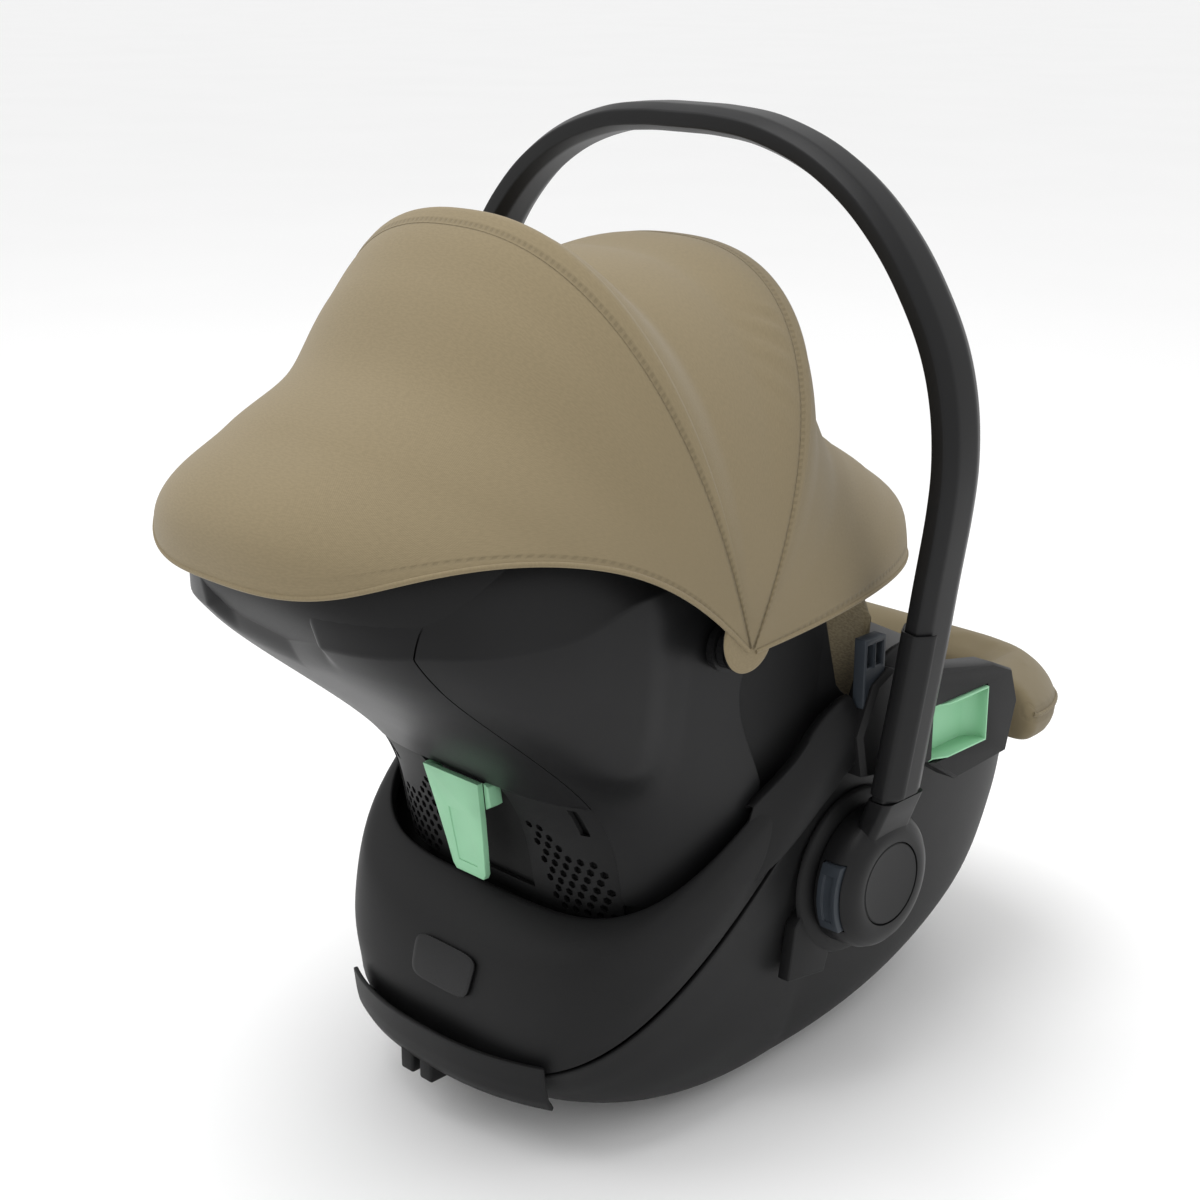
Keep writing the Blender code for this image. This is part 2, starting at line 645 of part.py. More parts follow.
def handle_section(centre, ahead, thick, depth, facet):
    """An eight-sided section across the handle's line, which lies in a plane of constant y."""
    out = Vector((ahead.z, 0, -ahead.x)).normalized()
    back = Vector((0, 1, 0))
    corners = [(0.5, 0.5 - facet), (0.5 - facet, 0.5), (facet - 0.5, 0.5), (-0.5, 0.5 - facet),
               (-0.5, facet - 0.5), (facet - 0.5, -0.5), (0.5 - facet, -0.5), (0.5, facet - 0.5)]
    return [centre + out * thick * a + back * depth * b for a, b in corners]


def handle_rings(half, thick, depth, facet=0.24):
    mirror = [(-x, z) for x, z in reversed(half[:-1])]
    centres = [Vector((x, 0, HUB_Z + z)) for x, z in half + mirror]
    rings = []
    for i, centre in enumerate(centres):
        ahead = centres[min(i + 1, len(centres) - 1)] - centres[max(i - 1, 0)]
        if i == 0 or i == len(centres) - 1:
            ahead = Vector((0, 0, 1 if i == 0 else -1))
        taper = 1 + 0.08 * (i < 2 or i > len(centres) - 3)
        rings.append(handle_section(centre, ahead, thick, depth * taper, facet))
    return rings


def make_handle():
    place("handle", loft_mesh("handle", handle_rings(handle_line(), HANDLE_THICK, HANDLE_DEPTH)), "satin_black")


def neck_mesh(sign):
    """Collar of the hub head that the leg plugs into."""
    foot = Vector((sign * 0.1680, 0, HUB_Z + 0.034))
    end = Vector((sign * handle_line()[0][0], 0, HUB_Z + LEG_START_Z - GAP))
    rings = [handle_section(foot, Vector((0, 0, 1)), 0.0160, 0.040, 0.22),
             handle_section(end, Vector((0, 0, 1)), HANDLE_THICK, HANDLE_DEPTH * 1.08, 0.24)]
    if sign < 0:
        rings = [list(reversed(ring)) for ring in rings]
    return loft_mesh("neck", rings)


def make_leg_insert(side, sign):
    """Grip strip let into the back edge of a leg."""
    leg = [point for point in handle_line() if 0.12 < point[1] < 0.26]
    rings = []
    y0 = HANDLE_DEPTH / 2 + GAP
    for x, z in leg:
        width, thick = 0.0055, 0.0022
        rings.append([Vector((sign * x - width, y0, HUB_Z + z)), Vector((sign * x + width, y0, HUB_Z + z)),
                      Vector((sign * x + width, y0 + thick, HUB_Z + z)),
                      Vector((sign * x - width, y0 + thick, HUB_Z + z))])
    place(f"leg_insert_{side}", loft_mesh("leg_insert", rings), "button_grey")


def make_release_button(side, sign):
    place(f"release_button_{side}", arc_block(sign, 0.0395, 0.0470, 0.0220, 0.1560, 0.1702), "button_grey")
    turns, points = 3, 8
    line = []
    for i in range(turns * points + 1):
        angle = 2 * math.pi * i / points
        line.append(Vector((sign * 0.163 + 0.0026 * math.cos(angle), 0.0255 + 0.0130 * i / (turns * points),
                            HUB_Z + 0.0026 * math.sin(angle))))
    place(f"button_spring_{side}", loft_mesh("spring", tube_rings(line, 0.0004, 4)), "steel")


# ---- Canopy ----
def rib_radius(angle):
    for low, high, first, second in zip(RIB_ANGLES, RIB_ANGLES[1:], RIB_RADII, RIB_RADII[1:]):
        if low <= angle <= high:
            blend = (angle - low) / (high - low)
            blend = blend * blend * (3 - 2 * blend)
            return first + (second - first) * blend
    return RIB_RADII[0] if angle < RIB_ANGLES[0] else RIB_RADII[-1]


def canopy_point(angle, around, inward=0.0):
    """A point on the hood: angle behind vertical, around from 0 at +X to 180 at -X, degrees."""
    c, s = math.cos(math.radians(around)), math.sin(math.radians(around))
    bend = 2 / RIB_SQUARE
    reach = (rib_radius(angle) - inward) * abs(s) ** bend
    x = (CANOPY_HALF_WIDTH - inward) * power(c, bend)
    turn = math.radians(angle)
    return Vector((x, CANOPY_PIVOT_Y + reach * math.sin(turn), CANOPY_PIVOT_Z + reach * math.cos(turn)))


def hem_angle(around):
    """Where the rear cloth ends on each rib line, lower behind the head than at the sides."""
    across = abs(math.cos(math.radians(around))) ** (2 / RIB_SQUARE)
    return HEM_ANGLE_BACK + (HEM_ANGLE_SIDE - HEM_ANGLE_BACK) * across ** 3.6


def hood_arounds(count=21):
    """Rib stations that leave the pivot clear on both sides."""
    start = math.degrees(math.asin((HEM_RADIUS / 0.24) ** (RIB_SQUARE / 2)))
    return steps(start, 180 - start, count)


def make_cloth(name, first, last, rows, finish="khaki_canopy"):
    """One cloth section between two rib angles, each a number or a function of the station."""
    grid = []
    for t in steps(0, 1, rows):
        row = []
        for around in hood_arounds():
            low = first(around) if callable(first) else first
            high = last(around) if callable(last) else last
            row.append(canopy_point(low + (high - low) * t, around))
        grid.append(row)
    return shell(name, grid, CANOPY_CLOTH, finish)


def visor_angle(around):
    """The visor's edge, which sweeps down towards the pivot at its sides."""
    across = abs(math.cos(math.radians(around))) ** (2 / RIB_SQUARE)
    return VISOR_ANGLE - (88 + VISOR_ANGLE) * across**3


def make_bow(name, angle, inset, finish="satin_black"):
    """Bow wire under the cloth with an eye at each end on the canopy pivot."""
    line = [canopy_point(angle, around, inset) for around in steps(3, 177, 21)]
    for sign, index in ((1, 0), (-1, -1)):
        turn = math.radians(angle)
        eye = Vector((line[index].x, CANOPY_PIVOT_Y + 0.009 * math.sin(turn), CANOPY_PIVOT_Z + 0.009 * math.cos(turn)))
        if sign > 0:
            line.insert(0, eye)
        else:
            line.append(eye)
    made = place(name, loft_mesh(name, tube_rings(line, BOW_RADIUS, 6)), finish)
    for side, sign in SIDES:
        x = line[0].x
        disc = cylinder_mesh("eye", (sign * (x - 0.0024), CANOPY_PIVOT_Y, CANOPY_PIVOT_Z),
                             (sign * (x + 0.0024), CANOPY_PIVOT_Y, CANOPY_PIVOT_Z), 0.0125, 20)
        boolean(made, cutter(f"{name}_eye_{side}", disc), "UNION")
    hole = cylinder_mesh("eye_hole", (-0.2, CANOPY_PIVOT_Y, CANOPY_PIVOT_Z),
                         (0.2, CANOPY_PIVOT_Y, CANOPY_PIVOT_Z), 0.0054, 16)
    boolean(made, cutter(f"{name}_eye_hole", hole))


def make_canopy():
    make_cloth("canopy_rear", REAR_BOW_ANGLE + 0.12, hem_angle, 8)
    make_cloth("canopy_middle", FRONT_BOW_ANGLE + 0.12, REAR_BOW_ANGLE - 0.12, 6)
    make_cloth("canopy_visor", visor_angle, FRONT_BOW_ANGLE - 0.12, 6)
    make_bow("rear_bow", REAR_BOW_ANGLE, 0.0065)
    make_bow("front_bow", FRONT_BOW_ANGLE, 0.0130)
    line = [canopy_point(visor_angle(around) + 1.5, around, 0.0058) for around in hood_arounds(21)]
    place("visor_wire", loft_mesh("visor_wire", tube_rings(line, 0.0014, 6)), "steel")
    for side, sign in SIDES:
        y, z = CANOPY_PIVOT_Y, CANOPY_PIVOT_Z
        base = cylinder_mesh("pivot", (sign * 0.1472, y, z), (sign * 0.1516, y, z), 0.015, 24)
        made = place(f"canopy_pivot_{side}", base, "satin_black")
        post = cylinder_mesh("post", (sign * 0.1506, y, z), (sign * 0.1660, y, z), 0.0050, 16)
        boolean(made, cutter(f"pivot_post_{side}", post), "UNION")


# ---- Foam, covers and cushions ----
def make_foam():
    nested_shell("foam_liner", SEAT, steps(0.16, 1.0, 8), 0.0, FOAM, "foam_grey", 26)


def make_cover():
    nested_shell("seat_cover", SEAT, steps(0.16, 1.0, 8), FOAM + COVER_GAP, FOAM + COVER, "khaki_melange", 26)


def pad(name, line, widths, thickness, finish="khaki_melange"):
    """A cushion that follows a line in the x = constant planes, with rounded ends."""
    rings = []
    for i, centre in enumerate(line):
        ahead = line[min(i + 1, len(line) - 1)] - line[max(i - 1, 0)]
        up = Vector((0, -ahead.z, ahead.y)).normalized()
        share = 0.45 if i in (0, len(line) - 1) else 1.0
        ring = []
        for a in range(12):
            turn = 2 * math.pi * (a + 0.5) / 12
            across = power(math.cos(turn), 0.5) * widths[i] / 2
            rise = power(math.sin(turn), 0.7) * thickness / 2 * share
            ring.append(centre + Vector((across, 0, 0)) + up * rise)
        rings.append(ring)
    return place(name, loft_mesh(name, rings), finish)


def make_foot_pad():
    """Padded roll over the shell's foot rim."""
    rings = []
    angles = steps(-142, -38, 15)
    for angle in angles:
        share = 0.35 if angle in (angles[0], angles[-1]) else 1.0
        outer = shell_point(TUB, 1.0, angle)
        inner = shell_point(SEAT, 1.0, angle)
        away = Vector((outer.x - inner.x, outer.y - inner.y, 0))
        middle = (outer + inner) / 2
        middle.z = max(outer.z, inner.z) + FOOT_ROLL / 2 + 0.0016
        half = away.length / 2 + 0.012
        away.normalize()
        middle += away * 0.012
        ring = []
        for a in range(10):
            turn = 2 * math.pi * a / 10
            offset = away * math.cos(turn) * half * (0.6 + 0.4 * share)
            ring.append(middle + offset + Vector((0, 0, FOOT_ROLL / 2 * share * math.sin(turn))))
        rings.append(ring)
    place("foot_pad", loft_mesh("foot_pad", rings), "khaki_melange")


def make_cushions():
    thick = 0.020
    pad("headrest", [seat_line(t, thick / 2 + 0.001, 0, 0.080) for t in steps(0.62, 0.86, 6)],
        [0.110, 0.150, 0.160, 0.160, 0.150, 0.110], thick)
    thick = 0.016
    pad("seat_cushion", [seat_line(t, thick / 2 + 0.001, 0, 0.060) for t in (-0.64, -0.56, -0.48, -0.40)],
        [0.080, 0.110, 0.110, 0.090], thick)
    for side, sign in SIDES:
        line = [seat_line(t, STRAP_LIFT + STRAP_THICK + 0.0050, sign * STRAP_X, 0.024) for t in steps(0.34, 0.54, 5)]
        pad(f"shoulder_pad_{side}", line, [0.040, 0.048, 0.048, 0.048, 0.040], 0.0070)
    make_foot_pad()


# ---- Harness ----
STRAP_X = 0.036
STRAP_LIFT = 0.0015


def make_shoulder_straps():
    for side, sign in SIDES:
        line = [seat_line(t, STRAP_LIFT, sign * STRAP_X, 0.024) for t in steps(0.20, 0.59, 9)]
        place(f"shoulder_strap_{side}", loft_mesh("strap", ribbon_rings(line, STRAP_WIDTH, STRAP_THICK)),
              "webbing_grey")


def make_buckle():
    """Buckle on its crotch strap, with a tongue on each side and a red key."""
    seat = seat_line(-0.17, 0.0, 0, 0.030)
    middle = seat + Vector((0, 0, 0.020))
    x, y, z = 0.018, 0.020, 0.007
    body = box_mesh("buckle", (-x, middle.y - y, middle.z - z), (x, middle.y + y, middle.z + z))
    made = bevel(place("buckle", body, "webbing_grey"), 0.003, 2)
    well = box_mesh("well", (-0.0105, middle.y - 0.0125, middle.z + 0.001), (0.0105, middle.y + 0.0125, 1))
    boolean(made, cutter("button_well", well))
    key = box_mesh("buckle_button", (-0.0100, middle.y - 0.0120, middle.z + 0.0045),
                   (0.0100, middle.y + 0.0120, middle.z + z + 0.0025))
    bevel(place("buckle_button", key, "buckle_red"), 0.001, 1)
    strap = box_mesh("crotch_strap", (-0.015, middle.y - 0.0012, seat.z + 0.0008),
                     (0.015, middle.y + 0.0012, middle.z - z - GAP))
    place("crotch_strap", strap, "webbing_grey")
    for side, sign in SIDES:
        low, high = side_box(sign, (x + GAP, x + 0.030), (middle.y + 0.002, middle.y + 0.018),
                             (middle.z - 0.0012, middle.z + 0.0012))
        place(f"tongue_{side}", box_mesh("tongue", low, high), "steel")


def make_adjuster():
    """Harness adjuster on the seat's front edge, with a sprung button."""
    front = seat_line(-0.86, 0.0024, 0, 0.018)
    back = seat_line(-0.74, 0.0024, 0, 0.018)
    slope = math.atan2(front.z - back.z, back.y - front.y)
    base = place("harness_adjuster", box_mesh("adjuster", (-0.017, -0.012, 0), (0.017, 0.012, 0.0050)), "shell_black")
    well = cutter("adjuster_well", box_mesh("adjuster_well", (-0.0105, -0.0085, 0.0010), (0.0105, 0.0085, 0.02)))
    boolean(base, well)
    key = place("adjuster_button", box_mesh("adjuster_button", (-0.010, -0.008, 0.0042), (0.010, 0.008, 0.0080)),
                "button_grey")
    for thing in (base, well, key):
        thing.location = (front + back) / 2
        thing.rotation_euler = (-slope, 0, 0)


PARTS = None
CUTTERS = None


def main():
    global PARTS, CUTTERS
    clear_scene()
    PARTS = collection("infant_car_seat")
    CUTTERS = collection("cutters")
    make_lower_shell()
    make_collar()
    make_sole()
    make_bumper()
    make_tub()
    make_head_panels()
    make_rear_cover()
    make_belt_hook()
    make_badge()
    for side, sign in SIDES:
        make_rim_housing(side, sign)
        make_belt_guide(side, sign)
        make_rim_clip(side, sign)
        make_hub(side, sign)
        make_release_button(side, sign)
        make_leg_insert(side, sign)
    make_handle()
    make_canopy()
    make_foam()
    make_cover()
    make_cushions()
    make_shoulder_straps()
    make_buckle()
    make_adjuster()


main()
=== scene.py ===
# %% [markdown]
# # An infant car seat with a carry handle
# The real seat is a hard plastic shell on a rounded base, a padded bowl for the child, a folding
# fabric canopy, and an arched handle that turns on two hubs. This lesson dresses a measured frame:
# the frame says where every part sits and what it moves with, and the cells below give each part
# its finished surface.

# %% Load the frame
import json
import math

import bpy
import numpy as np
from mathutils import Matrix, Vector


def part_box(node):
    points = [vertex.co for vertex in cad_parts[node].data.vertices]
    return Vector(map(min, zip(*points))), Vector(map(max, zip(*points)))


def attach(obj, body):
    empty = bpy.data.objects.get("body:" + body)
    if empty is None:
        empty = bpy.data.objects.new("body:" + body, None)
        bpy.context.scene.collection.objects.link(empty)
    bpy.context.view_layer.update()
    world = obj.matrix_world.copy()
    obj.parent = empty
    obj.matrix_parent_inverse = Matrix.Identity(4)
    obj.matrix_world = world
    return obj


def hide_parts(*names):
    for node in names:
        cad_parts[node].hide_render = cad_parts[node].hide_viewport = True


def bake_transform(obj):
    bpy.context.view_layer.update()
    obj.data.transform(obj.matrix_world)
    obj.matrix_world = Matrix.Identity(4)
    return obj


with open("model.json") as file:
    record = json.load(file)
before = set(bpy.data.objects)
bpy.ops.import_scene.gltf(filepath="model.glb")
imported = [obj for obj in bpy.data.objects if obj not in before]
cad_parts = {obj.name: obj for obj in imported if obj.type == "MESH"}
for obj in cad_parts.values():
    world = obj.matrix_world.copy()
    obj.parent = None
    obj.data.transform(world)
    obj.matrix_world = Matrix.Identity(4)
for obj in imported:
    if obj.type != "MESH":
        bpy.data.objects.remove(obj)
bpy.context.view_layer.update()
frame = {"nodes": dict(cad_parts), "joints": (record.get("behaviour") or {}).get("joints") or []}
JOINTS = {joint["name"]: joint for joint in frame["joints"]}
HUB_Z = JOINTS["handle_turn"]["pos_m"][2]
PIVOT_Y, PIVOT_Z = JOINTS["rear_bow_fold"]["pos_m"][1:]
SIDES = (("left", 1), ("right", -1))
print("hub height", HUB_Z, "canopy pivot", PIVOT_Y, PIVOT_Z)

# %% [markdown]
# ## Camera and light
# The seat is seen from behind its right shoulder, a little from above. A 60 mm lens keeps the arch
# from stretching. The camera is placed by direction and distance, so that it is easy to reason
# about: how far round, how high, and how far away.

# %% Place the camera
LOOK_AT = Vector((0, 0.081, 0.166 + HUB_Z))
AZIMUTH, ELEVATION, DISTANCE = math.radians(224.7), math.radians(18.3), 1.272
backward = Vector((math.sin(AZIMUTH) * math.cos(ELEVATION), -math.cos(AZIMUTH) * math.cos(ELEVATION),
                   math.sin(ELEVATION)))
bpy.ops.object.camera_add(location=LOOK_AT + backward * DISTANCE)
camera = bpy.context.object
camera.rotation_euler = backward.to_track_quat("Z", "Y").to_euler()
camera.data.lens = 60
camera.data.sensor_width = 36
bpy.context.scene.camera = camera
print("camera at", tuple(round(value, 3) for value in camera.location))

# %% [markdown]
# Black plastic shows its shape only through what it mirrors, so the lights are wide panels. One
# hangs overhead, one stands to the camera's left, and a weaker one fills the right side.


# %% Light the scene
def panel_light(name, place, size, power):
    """A wide square lamp that faces the seat."""
    bpy.ops.object.light_add(type="AREA", location=place)
    lamp = bpy.context.object
    lamp.name = name
    lamp.data.energy = power
    lamp.data.size = size
    lamp.rotation_euler = (Vector(place) - Vector((0, 0.05, 0.3))).to_track_quat("Z", "Y").to_euler()
    return lamp


panel_light("overhead", (0.1, 0.35, 2.3), 1.5, 24)
panel_light("key_left", (1.5, 1.6, 2.1), 1.2, 8)
panel_light("fill_right", (-2.2, -0.2, 1.5), 1.4, 1.5)

world = bpy.data.worlds.new("studio")
bpy.context.scene.world = world
world.use_nodes = True
background = world.node_tree.nodes["Background"].inputs
background["Color"].default_value = (1, 1, 1, 1)
background["Strength"].default_value = 0.95
bpy.context.scene.view_settings.view_transform = "Standard"

# %% [markdown]
# ## A small language for materials
# Surface detail is arithmetic on coordinates: waves for threads, noise for grain. Wrapping a node's
# output in a class that understands `+`, `-`, `*` and `/` lets each material read as a formula.


# %% Wrap node outputs so that they can be added and multiplied
class Value:
    """A number or colour that varies over a surface."""

    def __init__(self, look, node, output=0):
        self.look, self.node, self.socket = look, node, node.outputs[output]

    def out(self, name):
        return Value(self.look, self.node, name)

    def maths(self, operation, *others):
        return self.look.node("ShaderNodeMath", {"operation": operation}, *others)

    def __add__(self, other):
        return self.maths("ADD", self, other)

    def __sub__(self, other):
        return self.maths("SUBTRACT", self, other)

    def __rsub__(self, other):
        return self.maths("SUBTRACT", other, self)

    def __mul__(self, other):
        return self.maths("MULTIPLY", self, other)

    __radd__ = __add__
    __rmul__ = __mul__

    def wave(self, length):
        """0 to 1 and back once every length."""
        return self.maths("SINE", self * (2 * math.pi / length)) * 0.5 + 0.5

    def step(self, low, high):
        """0 below low, 1 above high, and smooth between."""
        return self.look.node("ShaderNodeMapRange", {"interpolation_type": "SMOOTHSTEP"}, self, low, high)


class Look:
    """A material under construction, with one method that adds any node."""

    def __init__(self, name, roughness, metallic=0.0):
        self.material = bpy.data.materials.new(name)
        self.material.use_nodes = True
        self.tree = self.material.node_tree
        self.shader = self.tree.nodes["Principled BSDF"]
        self.set("Roughness", roughness)
        self.set("Metallic", metallic)

    def node(self, kind, settings=None, *values, **named):
        made = self.tree.nodes.new(kind)
        for name, value in (settings or {}).items():
            setattr(made, name, value)
        for socket, value in zip(made.inputs, values):
            self.plug(socket, value)
        for key, value in named.items():
            self.plug(made.inputs[key], value)
        return Value(self, made)

    def plug(self, socket, value):
        if isinstance(value, Value):
            self.tree.links.new(value.socket, socket)
        else:
            socket.default_value = value

    def set(self, name, value):
        self.plug(self.shader.inputs[name], value)

    def place(self, kind="Object"):
        return self.node("ShaderNodeTexCoord").out(kind)

    def noise(self, size, detail=2.0, where=None):
        return self.node("ShaderNodeTexNoise", {}, Vector=where or self.place(), Scale=1 / size, Detail=detail)

    def blend(self, share, first, second):
        """A colour between first and second."""
        mixed = self.node("ShaderNodeMix", {"data_type": "RGBA"})
        for index, value in ((0, share), (6, first), (7, second)):
            if not isinstance(value, Value) and index:
                value = (*value, 1)
            self.plug(mixed.node.inputs[index], value)
        return mixed.out(2)

    def bump(self, height, distance, strength=1.0):
        self.set("Normal", self.node("ShaderNodeBump", {}, Height=height, Distance=distance, Strength=strength))


# %% [markdown]
# ## Plastics
# The shell is moulded with a fine matt grain, and the head shell and handle are smoother and catch
# the light. Both come from one recipe: a fine noise for the grain, and a broad, weak noise that
# keeps a large surface from looking like a flat fill.


# %% Mix the plastics
PLASTIC_GLOSS = 0.21


def plastic(name, colour, roughness, grain=0.0007, depth=0.00004):
    look = Look(name, roughness)
    fine = look.noise(grain, 3.0)
    broad = look.noise(0.09, 3.0)
    dark = tuple(0.86 * part for part in colour)
    light = tuple(1.16 * part for part in colour)
    look.set("Base Color", look.blend(broad.step(0.3, 0.7), dark, light))
    look.set("Roughness", (fine - 0.5) * 0.12 + (broad - 0.5) * 0.10 + roughness)
    look.bump(fine, depth)
    look.shader.inputs["Specular IOR Level"].default_value = PLASTIC_GLOSS
    return look.material


LOOKS = {
    "shell_black": plastic("shell_black_moulded", (0.0066, 0.0066, 0.0069), 0.52),
    "satin_black": plastic("satin_black_moulded", (0.0070, 0.0070, 0.0074), 0.42, 0.0005, 0.00002),
    "button_grey": plastic("button_grey_moulded", (0.030, 0.036, 0.044), 0.42, 0.0005, 0.00002),
    "belt_green": plastic("belt_green_moulded", (0.250, 0.500, 0.310), 0.40, 0.0006, 0.00002),
    "buckle_red": plastic("buckle_red_moulded", (0.55, 0.025, 0.02), 0.30, 0.0006, 0.00002),
    "foot_rubber": plastic("foot_rubber_matt", (0.014, 0.014, 0.014), 0.78, 0.0012, 0.00010),
    "badge_grey": plastic("badge_grey_satin", (0.0120, 0.0120, 0.0125), 0.30, 0.0005, 0.00001),
}
print(len(LOOKS), "plastics")

# %% [markdown]
# ## Fabrics
# The canopy is a tight plain weave, so its threads are under a millimetre and its colour is even.
# The seat fabric is a melange: light and dark fibres are spun together, which shows as flecks.
# Both follow the piece's own UV map, laid out in metres, so that threads run with the cloth.
# An attribute says how far each point is from a sewn line; there the stitches and painted shade are drawn.


# %% Weave the fabrics
FIBRE, CLOUD, STITCH = 0.0011, 0.05, 0.0042
SEAM_HALF_WIDTH = 0.0022


def fabric(name, colour, thread, fleck, roughness=0.9, sewn=False):
    look = Look(name, roughness)
    across = look.node("ShaderNodeSeparateXYZ", {}, look.place("UV"))
    u, v = across.out("X"), across.out("Y")
    threads = u.wave(thread) * v.wave(thread) + (1 - u.wave(thread)) * (1 - v.wave(thread))
    stretched = look.node("ShaderNodeCombineXYZ", {}, u * 0.35, v)
    fibres = look.noise(FIBRE, 3.0, stretched)
    cloudy = look.noise(CLOUD, 3.0)
    dark = tuple(part * (1 - fleck) for part in colour)
    light = tuple(min(1.0, part * (1 + fleck)) for part in colour)
    share = (fibres.step(0.36, 0.64) * 0.7 + threads * 0.2 + cloudy * 0.3) - 0.1
    tint = look.blend(share, dark, light)
    height = threads * 0.6 + fibres * 0.5
    if sewn:
        seam = look.node("ShaderNodeAttribute", {"attribute_name": "seam"}).out("Fac")
        groove = 1 - seam.step(0.0003, SEAM_HALF_WIDTH)
        stitch = groove * u.wave(STITCH).step(0.35, 0.6)
        # Painted shade: the seam's groove is coloured darker, towards 0.55 of the cloth colour.
        tint = look.blend(groove * 0.45, tint, tuple(0.55 * part for part in colour))
        tint = look.blend(stitch * 0.5, tint, light)
        height = height - groove * 4 + stitch * 2
    look.set("Base Color", tint)
    look.bump(height, 0.00010, 0.8)
    for socket, value in (("Sheen Weight", 0.12), ("Sheen Roughness", 0.5), ("Specular IOR Level", 0.2)):
        look.shader.inputs[socket].default_value = value
    return look.material


LOOKS["khaki_canopy"] = fabric("khaki_canopy_weave", (0.214, 0.171, 0.101), 0.0011, 0.06, sewn=True)
LOOKS["khaki_melange"] = fabric("khaki_melange_weave", (0.175, 0.142, 0.084), 0.0012, 0.28, sewn=True)
LOOKS["webbing_grey"] = fabric("webbing_grey_weave", (0.040, 0.040, 0.042), 0.0020, 0.25, 0.75)
LOOKS["foam_grey"] = fabric("foam_grey_beads", (0.22, 0.22, 0.22), 0.0030, 0.15)


def steel():
    look = Look("steel_brushed", 0.3, 1.0)
    brushed = look.noise(0.0006, 4.0)
    look.set("Base Color", look.blend(brushed, (0.42, 0.43, 0.44), (0.62, 0.62, 0.63)))
    look.set("Roughness", brushed * 0.2 + 0.22)
    return look.material


LOOKS["steel"] = steel()
print(sorted(LOOKS))

# %% [markdown]
# ## Working by hand, in code
# An operator acts on everything that is selected, so each step starts by selecting one piece only.
# `settle` is the last step for every piece: smooth shading, its finish, the body it moves with,
# and the frame parts that it stands for.


# %% Select, modify and settle a piece
def only(piece):
    if bpy.context.object and bpy.context.object.mode != "OBJECT":
        bpy.ops.object.mode_set(mode="OBJECT")
    bpy.ops.object.select_all(action="DESELECT")
    piece.select_set(True)
    bpy.context.view_layer.objects.active = piece
    return piece


def modify(piece, kind, **settings):
    """Adds one modifier and applies it."""
    only(piece)
    step = piece.modifiers.new(kind.title(), kind)
    for name, value in settings.items():
        setattr(step, name, value)
    bpy.ops.object.modifier_apply(modifier=step.name)
    return piece


def rounded(piece, width, segments=3, angle=35):
    return modify(piece, "BEVEL", width=width, segments=segments, limit_method="ANGLE",
                  angle_limit=math.radians(angle), harden_normals=False)


def edit(piece):
    only(piece)
    bpy.ops.object.mode_set(mode="EDIT")
    bpy.ops.mesh.select_all(action="SELECT")


def settle(piece, name, body, finish, *stands_for, angle=40):
    only(piece)
    bpy.ops.object.transform_apply(location=True, rotation=True, scale=True)
    bpy.ops.object.shade_smooth_by_angle(angle=math.radians(angle))
    piece.name = name
    piece.data.materials.clear()
    piece.data.materials.append(LOOKS[finish])
    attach(piece, body)
    if stands_for:
        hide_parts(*stands_for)
    print(f"{name}: {len(piece.data.polygons)} faces")
    return piece


def joined_copy(node):
    """A free copy of a frame part, its loose triangles joined, left in edit mode."""
    only(frame["nodes"][node])
    bpy.ops.object.duplicate()
    piece = bpy.context.object
    piece.parent = None
    for key in list(piece.keys()):
        del piece[key]
    edit(piece)
    bpy.ops.mesh.remove_doubles(threshold=0.00001)
    return piece


def copied(node, width, segments=3):
    """A rounded copy of a frame part, with its flat faces made whole."""
    piece = joined_copy(node)
    bpy.ops.mesh.dissolve_limited(angle_limit=math.radians(3))
    bpy.ops.object.mode_set(mode="OBJECT")
    return rounded(piece, width, segments)


def picked(piece, chosen):
    """Enters edit mode with only the chosen slice of its vertices selected."""
    edit(piece)
    bpy.ops.mesh.select_all(action="DESELECT")
    bpy.ops.object.mode_set(mode="OBJECT")
    for vertex in piece.data.vertices[chosen]:
        vertex.select = True
    bpy.ops.object.mode_set(mode="EDIT")
    bpy.ops.mesh.select_mode(type="VERT")


def coordinates(piece):
    return np.array([vertex.co for vertex in piece.data.vertices])


# %% [markdown]
# ## Free-form surfaces
# The shells, the canopy and the pads are double-curved surfaces that a primitive can't become
# without fighting it. They are drawn as nets: rows of points that follow a formula, joined by
# quads. The net also gives each surface a UV map in metres, for the fabrics.


# %% Draw nets
def drawn(name, points, edges=(), faces=()):
    """A new piece from its points, edges and faces."""
    mesh = bpy.data.meshes.new(name)
    mesh.from_pydata(points, list(edges), list(faces))
    piece = bpy.data.objects.new(name, mesh)
    bpy.context.scene.collection.objects.link(piece)
    return piece


def run_along(points):
    """Distance along a line of points, from its first point."""
    return np.concatenate([[0], np.cumsum(np.linalg.norm(np.diff(points, axis=0), axis=1))])


def net(name, points, ring=False):
    """A surface through points[row][column], as a mesh of quads."""
    points = np.asarray(points, float)
    rows, columns = points.shape[:2]
    last = columns if ring else columns - 1
    faces = []
    for r in range(rows - 1):
        for c in range(last):
            d = (c + 1) % columns
            faces.append((r * columns + c, r * columns + d, (r + 1) * columns + d, (r + 1) * columns + c))
    piece = drawn(name, points.reshape(-1, 3).tolist(), faces=faces)
    along, down = run_along(points[rows // 2]), run_along(points[:, columns // 2])
    closing = np.linalg.norm(points[rows // 2, -1] - points[rows // 2, 0])
    uv = piece.data.uv_layers.new(name="UVMap")
    for face in piece.data.polygons:
        r, c = divmod(face.index, last)
        for loop, (dr, dc) in zip(face.loop_indices, ((0, 0), (0, 1), (1, 1), (1, 0))):
            u = along[c + dc] if c + dc < columns else along[-1] + closing
            uv.data[loop].uv = (u, down[r + dr])
    return piece


